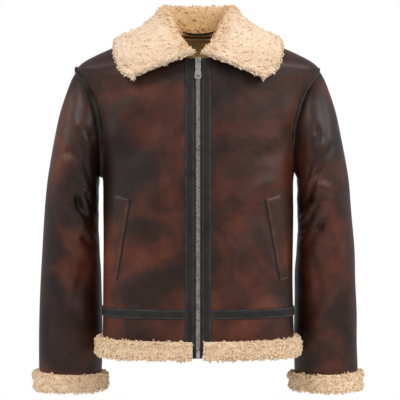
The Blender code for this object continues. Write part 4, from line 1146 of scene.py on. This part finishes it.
collar_shares = np.linspace(0, 1, COLLAR_STATIONS)
coarse = np.array([collar_section(share) for share in collar_shares])
outline_steps = np.linalg.norm(np.diff(coarse, axis=1), axis=-1).mean(axis=0)
outline_places = np.concatenate([[0], np.cumsum(outline_steps)])
tip_place = outline_places[13]
fleece_end = tip_place + FLEECE_OVER_TIP
across_at = np.concatenate([
    np.linspace(0, fleece_end, FLEECE_ACROSS, endpoint=False),
    np.linspace(fleece_end, outline_places[-1], SKIN_ACROSS),
])
finer = smooth_through(outline_places, coarse.transpose(1, 0, 2).reshape(len(outline_places), -1), across_at)
finer = finer.reshape(len(across_at), COLLAR_STATIONS, 3).transpose(1, 0, 2).reshape(COLLAR_STATIONS, -1)
half_collar = smooth_through(collar_shares, finer, np.linspace(0, 1, COLLAR_ALONG))
half_collar = half_collar.reshape(COLLAR_ALONG, len(across_at), 3)
collar_grid = np.concatenate([mirrored(half_collar[::-1], -1), half_collar[1:]])
hair = np.clip((tip_place + 0.012 - across_at) / 0.006, 0, 1)
from_tip = (tip_place - across_at - COLLAR_SEAM_IN) / 0.0035
ridge = 0.0022 * np.exp(-((from_tip - 1.1) ** 2)) - 0.0026 * np.exp(-(from_tip**2))
near_end = np.minimum(np.arange(2 * COLLAR_ALONG - 1), np.arange(2 * COLLAR_ALONG - 1)[::-1])
hair_grid = hair[None, :] * np.ones((len(collar_grid), 1))
collar_grid = collar_grid + grid_normals(collar_grid, False) * (ridge * (across_at < tip_place))[None, :, None]
to_seam = across_at[-1] - across_at
gold = np.maximum(np.clip(1.15 - across_at / 0.075, 0, 1), to_seam < COLLAR_STAND_BACK)
gold = gold[None, :] * np.ones((len(collar_grid), 1))
under_skin = ((across_at > tip_place + 0.012) & (to_seam > COLLAR_STAND_BACK)).astype(np.int32)
collar = fleece_piece("collar_shearling", collar_grid, False, [COLLAR_FLEECE, BROWN], hair_grid, under_skin,
                      {"gold": gold, "wear": 0 * gold}, 31)
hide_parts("collar")

edge_weight = 0.10 + np.exp(-(((across_at - tip_place) / 0.008) ** 2)) * 1.6 + np.exp(-(((across_at - 0.055) / 0.012) ** 2)) * 0.35
edge_weight = edge_weight * (across_at < tip_place + 0.006) + 0.8 * np.exp(-(((across_at - 0.005) / 0.004) ** 2))
lock_weight = edge_weight[None, :] * (1 + 14 * np.exp(-((near_end / 3.0) ** 2)))[:, None]
collar_roots = roots_on(collar_grid, False, lock_weight, 2300, 41)
locks("collar_locks", *collar_roots[:3], COLLAR_FLEECE, "collar_fleece", 42,
      gold=gold.reshape(-1)[collar_roots[3]])

# Along each front end of the collar the fleece stands out over the cut edge in feathery tufts.
END_TUFTS = 420
END_TUFTS_FORWARD = np.array([0.0, -0.60, -0.30])
end_chance = np.random.default_rng(47)
for end_name, end, inner_row in (("right", 0, 4), ("left", -1, -5)):
    ahead = collar_grid[end] - collar_grid[inner_row]
    ahead /= np.linalg.norm(ahead, axis=1, keepdims=True) + 1e-12
    fleece_columns = np.flatnonzero((across_at > 0.050) & (across_at < tip_place + 0.004))
    picked = end_chance.choice(fleece_columns, END_TUFTS)
    depth = end_chance.uniform(-0.10, 0.50, (END_TUFTS, 1))
    surface_way = grid_normals(collar_grid, False)[end][picked]
    roots = collar_grid[end][picked] - surface_way * depth * COLLAR_LEAF_WALL - ahead[picked] * 0.0008
    leaning = ahead[picked] + END_TUFTS_FORWARD + 0.25 * surface_way * (0.6 - depth)
    leaning /= np.linalg.norm(leaning, axis=1, keepdims=True)
    locks(f"collar_end_{end_name}_tufts", roots, leaning, surface_way, COLLAR_FLEECE, "collar_fleece", 48 + end,
          size=end_chance.choice((0.8, 1.0, 1.4, 2.0), END_TUFTS))

# Inside the back neck the collar's pile hangs down over the neck seam.
SEAM_TUFTS = 420
SEAM_TUFT_WAY = np.array([0.0, -0.35, -0.94])
seam_chance = np.random.default_rng(61)
seam_column = int(np.argmin(np.abs(across_at - 0.0025)))
back_rows = np.flatnonzero(collar_grid[:, seam_column, 1] > -0.005)
seam_rows = seam_chance.choice(back_rows, SEAM_TUFTS)
seam_inward = grid_normals(collar_grid, False)[seam_rows, seam_column]
seam_roots = collar_grid[seam_rows, seam_column] + seam_chance.normal(scale=0.0007, size=(SEAM_TUFTS, 3))
seam_ways = np.repeat(SEAM_TUFT_WAY[None], SEAM_TUFTS, axis=0)
locks("collar_seam_tufts", seam_roots, seam_ways, seam_inward, COLLAR_FLEECE, "collar_fleece", 62,
      size=1.1, gold=1.0)

# Fleece trims. A thick band of cream fleece closes the hem, open at the zip, and another closes
# each cuff. Both stand out from the leather and curl over its cut edge.
HEM_BOTTOM = -0.6300
HEM_STANDS_OUT = 0.0125
CUFF_STANDS_OUT = 0.0110
CUFF_TOP = -0.6725
CUFF_BOTTOM = -0.7090
BAND_CORNER = 0.007
BAND_STEPS = (8, 4, 4, 12, 4, 4, 8, 14)
HEM_STATIONS = 520
CUFF_STATIONS = 170
TRIM_FLEECE = fleece_finish("golden_trim_fleece", (0.40, 0.21, 0.085), (0.76, 0.51, 0.30), (0.93, 0.73, 0.51))


def band_outline(low_out, high_out, top, bottom):
    """Rounded corners of a band's section, as distance out and height."""
    cut = BAND_CORNER
    corners = np.array((
        (low_out, top), (high_out - cut, top), (high_out - 0.3 * cut, top - 0.3 * cut),
        (high_out, top - cut), (high_out, bottom + cut), (high_out - 0.3 * cut, bottom + 0.3 * cut),
        (high_out - cut, bottom), (low_out, bottom),
    ))
    points = [corners[k] + (corners[(k + 1) % 8] - corners[k]) * step / BAND_STEPS[k]
              for k in range(8) for step in range(BAND_STEPS[k])]
    return np.array(points)


band_points = sum(BAND_STEPS)
hem_outline = band_outline(-WALL, HEM_STANDS_OUT, LEATHER_HEM - SEAM_GAP, HEM_BOTTOM)
hem_turns = round_angles(FRONT_EDGE + SEAM_GAP, LEATHER_HEM, HEM_STATIONS)
hem_angles, hem_heights = np.meshgrid(hem_turns, hem_outline[:, 1], indexing="ij")
hem_outs = np.broadcast_to(hem_outline[:, 0], hem_angles.shape)
hem_grid = raised(body_surface, hem_angles, hem_heights, hem_outs)
hem = fleece_piece("hem_fleece_band", hem_grid, False, [TRIM_FLEECE], np.ones(hem_grid.shape[:2]),
                   np.zeros(band_points, np.int32), {"gold": np.zeros(hem_grid.shape[:2])}, 51)
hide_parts("hem_fleece")
hem_corner = np.exp(-(((hem_outs - HEM_STANDS_OUT) / 0.006) ** 2)) * (
    0.25 + np.exp(-(((hem_heights - HEM_BOTTOM) / 0.008) ** 2)) + np.exp(-(((hem_heights - LEATHER_HEM) / 0.007) ** 2)))
hem_locks = roots_on(hem_grid, False, hem_corner + 0.002, 2300, 52)
locks("hem_locks", *hem_locks[:3], TRIM_FLEECE, "trim_fleece", 53)

cuff_outline = band_outline(-WALL, CUFF_STANDS_OUT, CUFF_TOP, CUFF_BOTTOM)
cuff_turns = np.linspace(0, 2 * math.pi, CUFF_STATIONS, endpoint=False)
for cuff_name, cuff_side, sleeve_surface in sleeve_sides:
    rim = sleeve_surface(np.full(CUFF_STATIONS, float(last_ring)), cuff_turns)
    level = np.array([1.0, 1.0, 0.0])
    out = (rim - rim.mean(axis=0)) * level
    out /= np.linalg.norm(out, axis=1, keepdims=True)
    under = rim[:, 2] - SEAM_GAP - CUFF_TOP
    drop = (cuff_outline[:, 1] - CUFF_BOTTOM) / (CUFF_TOP - CUFF_BOTTOM)
    cuff_grid = rim[:, None] * level + out[:, None] * cuff_outline[None, :, :1]
    cuff_grid[..., 2] = cuff_outline[None, :, 1] + under[:, None] * drop
    cuff_grid = mirrored(cuff_grid, cuff_side)
    cuff = fleece_piece(f"cuff_{cuff_name}_band", cuff_grid, True, [TRIM_FLEECE], np.ones(cuff_grid.shape[:2]),
                        np.zeros(band_points, np.int32), {"gold": np.zeros(cuff_grid.shape[:2])}, 60 + cuff_side)
    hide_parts(f"cuff_fleece_{cuff_name}")
    outer_part = np.exp(-(((cuff_outline[:, 0] - CUFF_STANDS_OUT) / 0.006) ** 2)) * (
        0.25 + np.exp(-(((cuff_outline[:, 1] - CUFF_BOTTOM) / 0.008) ** 2))
        + np.exp(-(((cuff_outline[:, 1] - CUFF_TOP) / 0.007) ** 2)))
    cuff_weight = np.broadcast_to(outer_part + 0.002, cuff_grid.shape[:2])
    cuff_locks = roots_on(cuff_grid, True, cuff_weight, 800, 70 + cuff_side)
    locks(f"cuff_{cuff_name}_locks", *cuff_locks[:3], TRIM_FLEECE, "trim_fleece", 80 + cuff_side)

# Black trims. A strap covers the waist seam all round, and a placket lies beside the zip on each
# side from the collar to the hem. All are flat strips of pebbled leather, stitched near both edges.
LAID_ON = 0.0003
STRIP = 0.0018
PLACKET_INNER = 0.0066
PLACKET_OUTER = 0.0254
STRAP_TOP = -0.5330
STRAP_BOTTOM = -0.5520
STITCH_IN = 0.0026
EDGE_ROUND = 0.0016


def laid_strip(name, angles, heights, finish, seed):
    """A strip on the leather with softly rounded edges and a slightly uneven thickness."""
    flat = raised(body_surface, angles, heights, np.full(angles.shape, LAID_ON))
    away = edge_distance(flat)
    edge = np.sqrt(np.clip(1 - (1 - np.clip(away / EDGE_ROUND, 0, 1)) ** 2, 0, 1))
    thick = 0.0007 + (STRIP - 0.0007) * edge + 0.00015 * wander(flat, 0.02, seed)
    groove = 0.0003 * np.exp(-(((away - STITCH_IN) / 0.0007) ** 2))
    outer = raised(body_surface, angles, heights, LAID_ON + thick - groove)
    return wall_piece(name, outer, flat, [finish], values={"wear": edge_wear(flat, away)})


strap_ends = round_angles(PLACKET_OUTER + SEAM_GAP, (STRAP_TOP + STRAP_BOTTOM) / 2, 300)
strap_heights, strap_angles = np.meshgrid(np.linspace(STRAP_TOP, STRAP_BOTTOM, 17), strap_ends, indexing="ij")
strap = laid_strip("waist_strap_leather", strap_angles, strap_heights, BLACK, 91)
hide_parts("waist_strap")

placket_rows = np.linspace(NECK_FRONT - SEAM_GAP, LEATHER_HEM + SEAM_GAP, 150)
placket_xs = np.linspace(PLACKET_INNER, PLACKET_OUTER, 16)
placket_heights, placket_x = np.meshgrid(placket_rows, placket_xs, indexing="ij")
placket_angles = angle_at_x(placket_x, placket_heights)
for placket_name, placket_side in (("left", 1), ("right", -1)):
    placket = laid_strip(f"placket_{placket_name}_leather", placket_side * placket_angles, placket_heights, BLACK, 93)
    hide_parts(f"placket_{placket_name}")

# Welt pockets. A slanted strip of brown leather on each front closes a pocket, sewn down along its
# ends and outer side; a thin near-black sheet along its inner side is painted shadow in the slit.
WELT_TOP_FRONT = (0.132, -0.3210)
WELT_TOP_SIDE = (0.160, -0.3120)
WELT_LOW_FRONT = (0.160, -0.4800)
WELT_LOW_SIDE = (0.1765, -0.4760)
SLIT_WIDTH = 0.0022


def welt_places(down, across):
    """Places across a welt: x, z and angle; across 0 is the pocket's slit."""
    front_z = WELT_TOP_FRONT[1] + (WELT_LOW_FRONT[1] - WELT_TOP_FRONT[1]) * down
    side_z = WELT_TOP_SIDE[1] + (WELT_LOW_SIDE[1] - WELT_TOP_SIDE[1]) * down
    front_x = WELT_TOP_FRONT[0] + (WELT_LOW_FRONT[0] - WELT_TOP_FRONT[0]) * down
    side_x = WELT_TOP_SIDE[0] + (WELT_LOW_SIDE[0] - WELT_TOP_SIDE[0]) * down
    front_turn = angle_at_x(front_x, front_z)
    return front_turn + (angle_at_x(side_x, side_z) - front_turn) * across, front_z + (side_z - front_z) * across


welt_down, welt_across = np.meshgrid(np.linspace(0, 1, 64), np.linspace(0, 1, 16), indexing="ij")
welt_angles, welt_heights = welt_places(welt_down, welt_across)
slit_down, slit_across = np.meshgrid(np.linspace(0.01, 0.99, 60), np.linspace(-0.13, 0.02, 4), indexing="ij")
slit_angles, slit_heights = welt_places(slit_down, slit_across)
# Painted shadow: a near-black finish on a thin sheet in the pocket's slit stands for the shade inside the opening.
SLIT_PAINTED_SHADOW, slit_shadow_tree, slit_shadow_surface = finish_for("pocket_slit_painted_shadow")
slit_shadow_surface.inputs["Base Color"].default_value = (0.006, 0.0045, 0.004, 1.0)
slit_shadow_surface.inputs["Roughness"].default_value = 0.9
for welt_name, welt_side in (("left", 1), ("right", -1)):
    welt = laid_strip(f"welt_{welt_name}_leather", welt_side * welt_angles, welt_heights, BROWN, 95 + welt_side)
    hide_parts(f"welt_{welt_name}")
    slit_low = raised(body_surface, welt_side * slit_angles, slit_heights, np.full(slit_angles.shape, -0.0006))
    slit_top = raised(body_surface, welt_side * slit_angles, slit_heights, np.full(slit_angles.shape, 0.00025))
    slit_painted_shadow = wall_piece(f"welt_{welt_name}_slit", slit_top, slit_low, [SLIT_PAINTED_SHADOW])

# Topstitching. Brown waxed thread runs beside the armhole strips and round the welts; black thread
# runs near both edges of the strap and the plackets.
# The brown thread's lighter colour is partly its own and partly painted sheen.
STITCH_ON = LAID_ON + STRIP - 0.0003


def strip_rows(angles, heights, inset):
    """Rows of stitching just inside both long sides of a strip on the body."""
    rows = []
    for share in (inset, 1 - inset):
        place = share * (angles.shape[1] - 1)
        low = int(place)
        part = place - low
        angle = angles[:, low] * (1 - part) + angles[:, low + 1] * part
        height = heights[:, low] * (1 - part) + heights[:, low + 1] * part
        rows.append(surface_row(body_surface, angle, height, STITCH_ON))
    return rows


strap_stitches = strip_rows(strap_angles.T, strap_heights.T, STITCH_IN / (STRAP_TOP - STRAP_BOTTOM))
stitch_rows("strap_stitches", strap_stitches, DARK_THREAD)
for side_name, side in (("left", 1), ("right", -1)):
    inset = STITCH_IN / (PLACKET_OUTER - PLACKET_INNER)
    stitch_rows(f"placket_{side_name}_stitches", strip_rows(side * placket_angles, placket_heights, inset),
                DARK_THREAD)
    welt_turns = [welt_places(np.linspace(0.015, 0.985, 60), np.full(60, share)) for share in (0.10, 0.90)]
    welt_turns += [welt_places(np.full(14, share), np.linspace(0.10, 0.90, 14)) for share in (0.018, 0.982)]
    welt_turns += [welt_places(np.linspace(-0.012, 1.012, 60), np.full(60, 1.10))]
    welt_rows = [surface_row(body_surface, side * turn, z, STITCH_ON if k < 4 else 0.0001)
                 for k, (turn, z) in enumerate(welt_turns)]
    stitch_rows(f"welt_{side_name}_stitches", welt_rows, BROWN_THREAD_PAINTED_SHEEN)
    armhole_rows = []
    for gap in (0.0042, 0.0085):
        edge = np.array(BODY_EDGE) + np.array([gap, -gap, gap, gap])
        turns = np.linspace(0.35, 2 * math.pi - 0.35, 240)
        z = np.clip(armhole_z(turns, edge), edge[1], edge[0])
        front = angle_at_y(armhole_reach(z, edge, True), z, True)
        rear = angle_at_y(armhole_reach(z, edge, False), z, False)
        armhole_rows.append(surface_row(body_surface, side * np.where(np.sin(turns) >= 0, front, rear), z, 0.0001))
    stitch_rows(f"armhole_{side_name}_stitches", armhole_rows[:1], BROWN_THREAD_PAINTED_SHEEN)

# Zip. Black woven tapes carry a row of bright metal teeth each, which mesh down the middle below
# the slider. Its top is open for a short way, and a metal box holds the ends at the hem.
TAPE_INNER = 0.0046
TAPE_OUTER = 0.0107
TAPE_FRONT = -0.0003
TAPE_BACK = 0.0015
ZIP_BOTTOM = -0.6270
SLIDER_BOTTOM = -0.0695
BOX_TOP = -0.6100
BOX_HALF = 0.0036
BOX_OUT = 0.0026
CHAIN_BACK = 0.0018
TOOTH_PITCH = 0.0026
TOOTH_HALF = (0.0023, 0.0015, 0.00078)
TOOTH_SHIFT = 0.0017
TOOTH_OUT = 0.0004


def metal(name, colour, roughness, scratches):
    """Bright plated metal with fine scratches, and random patches that are darker and less rough."""
    finish, tree, surface = finish_for(name)
    make = node_maker(tree)
    place = make("ShaderNodeTexCoord").outputs["Object"]
    cloud = make("ShaderNodeTexNoise", Vector=place, Scale=160.0, Detail=4.0)
    dark = tuple(value * 0.62 for value in colour)
    shade = ramp(make, cloud.outputs["Fac"], ((0.32, dark), (0.62, colour)))
    tree.links.new(shade, surface.inputs["Base Color"])
    rough = make("ShaderNodeMapRange", Value=cloud.outputs["Fac"], To_Min=roughness * 0.7, To_Max=roughness * 1.5)
    tree.links.new(rough.outputs[0], surface.inputs["Roughness"])
    lines = make("ShaderNodeTexNoise", Vector=place, Scale=900.0, Detail=2.0)
    bump = make("ShaderNodeBump", Strength=scratches, Distance=0.0002, Height=lines.outputs["Fac"])
    tree.links.new(bump.outputs[0], surface.inputs["Normal"])
    surface.inputs["Metallic"].default_value = 1.0
    return finish


def woven_tape(name):
    """Black polyester tape with a close herringbone weave."""
    finish, tree, surface = finish_for(name)
    make = node_maker(tree)
    place = make("ShaderNodeTexCoord").outputs["Object"]
    weave = make("ShaderNodeTexWave", {"bands_direction": "DIAGONAL"}, Vector=place, Scale=190.0, Distortion=0.4)
    shade = ramp(make, weave.outputs["Fac"], ((0.2, (0.006, 0.006, 0.006)), (0.8, (0.020, 0.019, 0.018))))
    tree.links.new(shade, surface.inputs["Base Color"])
    bump = make("ShaderNodeBump", Strength=0.5, Distance=0.0003, Height=weave.outputs["Fac"])
    tree.links.new(bump.outputs[0], surface.inputs["Normal"])
    surface.inputs["Roughness"].default_value = 0.85
    surface.inputs["Sheen Weight"].default_value = 0.25
    return finish


SILVER = metal("bright_zip_metal", (0.66, 0.65, 0.63), 0.27, 0.25)
TAPE = woven_tape("black_zip_tape")


def front_place(x, z, out):
    """A point in front of the jacket's middle line, at x across it and z high."""
    z = np.asarray(z, float)
    middle = body_surface(np.zeros_like(z), z)[..., 1]
    return np.stack([np.broadcast_to(x, z.shape), middle - out, z], axis=-1)


tape_z, tape_x = np.meshgrid(np.linspace(NECK_FRONT, ZIP_BOTTOM, 200), np.linspace(0.0005, TAPE_OUTER, 12), indexing="ij")
for tape_name, tape_side in (("left", 1), ("right", -1)):
    tape_swell = 0.0004 * np.exp(-(((tape_x - 0.0056) / 0.0009) ** 2))
    tape_front = mirrored(front_place(tape_x, tape_z, TAPE_FRONT + tape_swell), tape_side)
    tape_rear = mirrored(front_place(tape_x, tape_z, -TAPE_BACK), tape_side)
    tape = wall_piece(f"zip_tape_{tape_name}_woven", tape_front, tape_rear, [TAPE])
    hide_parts(f"zip_tape_{tape_name}")

tooth_rows = np.arange(SLIDER_BOTTOM - 0.0026, BOX_TOP + 0.001, -TOOTH_PITCH / 2)
open_rows = np.arange(NECK_FRONT - 0.001, SLIDER_BOTTOM + 0.019, -TOOTH_PITCH / 2)
tooth_shape = np.array([
    (-1.0, -1, -1), (0.55, -1, -1), (1.0, -0.7, -0.45), (1.0, -0.7, 0.45), (0.55, -1, 1), (-1.0, -1, 1),
    (-1.0, 1, -1), (0.55, 1, -1), (1.0, 0.7, -0.45), (1.0, 0.7, 0.45), (0.55, 1, 1), (-1.0, 1, 1),
]) * np.array(TOOTH_HALF)
tooth_faces = [(0, 1, 2, 3, 4, 5), (11, 10, 9, 8, 7, 6)]
tooth_faces += [(k, 6 + k, 6 + (k + 1) % 6, (k + 1) % 6) for k in range(6)]
tooth_points, all_tooth_faces = [], []
for number, tooth_height in enumerate(np.concatenate([tooth_rows, open_rows])):
    tooth_side = 1 if number % 2 else -1
    spread = TOOTH_SHIFT if tooth_height < SLIDER_BOTTOM else TOOTH_SHIFT + 0.0022
    centre = front_place(tooth_side * spread, tooth_height, TOOTH_OUT)
    all_tooth_faces += [tuple(corner + 12 * number for corner in (face if tooth_side < 0 else face[::-1]))
                        for face in tooth_faces]
    tooth_points.append(centre + tooth_shape * np.array([-tooth_side, 1, 1]))
teeth = mesh_piece("zip_teeth", np.concatenate(tooth_points), all_tooth_faces, [SILVER])
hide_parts("zip_chain")

# Zip hardware. The slider, its pull tab and the bottom box are cast metal pieces, carried over
# from the frame with their true shape and given the plated finish.
for metal_name in ("zip_slider", "zip_pull", "zip_box"):
    bpy.data.objects[metal_name].data.materials.clear()
    bpy.data.objects[metal_name].data.materials.append(SILVER)

# Hanger loop. A black twisted cord is sewn across the inside of the back neck by its two ends.
LOOP_HALF = 0.031
LOOP_Z = 0.0215
LOOP_SAG = 0.0040
LOOP_RADIUS = 0.0024
LOOP_Y = 0.0490
LOOP_BOW = 0.0030
STRAND_TURNS = 11.0
loop_share = np.linspace(-1, 1, 120)
loop_line = np.stack([
    LOOP_HALF * loop_share, LOOP_Y - LOOP_BOW * (1 - loop_share**2), LOOP_Z - LOOP_SAG * (1 - loop_share**2),
], axis=1)
loop_points, loop_faces = [], []
for strand in range(3):
    phase = STRAND_TURNS * math.pi * loop_share + 2 * math.pi * strand / 3
    strand_line = loop_line + 0.48 * LOOP_RADIUS * np.stack([0 * phase, np.cos(phase), np.sin(phase)], axis=1)
    for point in strand_line:
        around = np.arange(6) * math.pi / 3
        ring = np.stack([0 * around, np.cos(around), np.sin(around)], axis=1) * 0.55 * LOOP_RADIUS
        loop_points.append(point + ring)
    first = strand * len(strand_line) * 6
    for row in range(len(strand_line) - 1):
        low, high = first + row * 6, first + row * 6 + 6
        loop_faces += [(low + k, high + k, high + (k + 1) % 6, low + (k + 1) % 6) for k in range(6)]
    end = first + (len(strand_line) - 1) * 6
    loop_faces += [tuple(first + k for k in range(6)), tuple(end + k for k in reversed(range(6)))]
loop = mesh_piece("hanger_loop_cord", np.concatenate(loop_points), loop_faces, [BLACK])
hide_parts("hanger_loop")
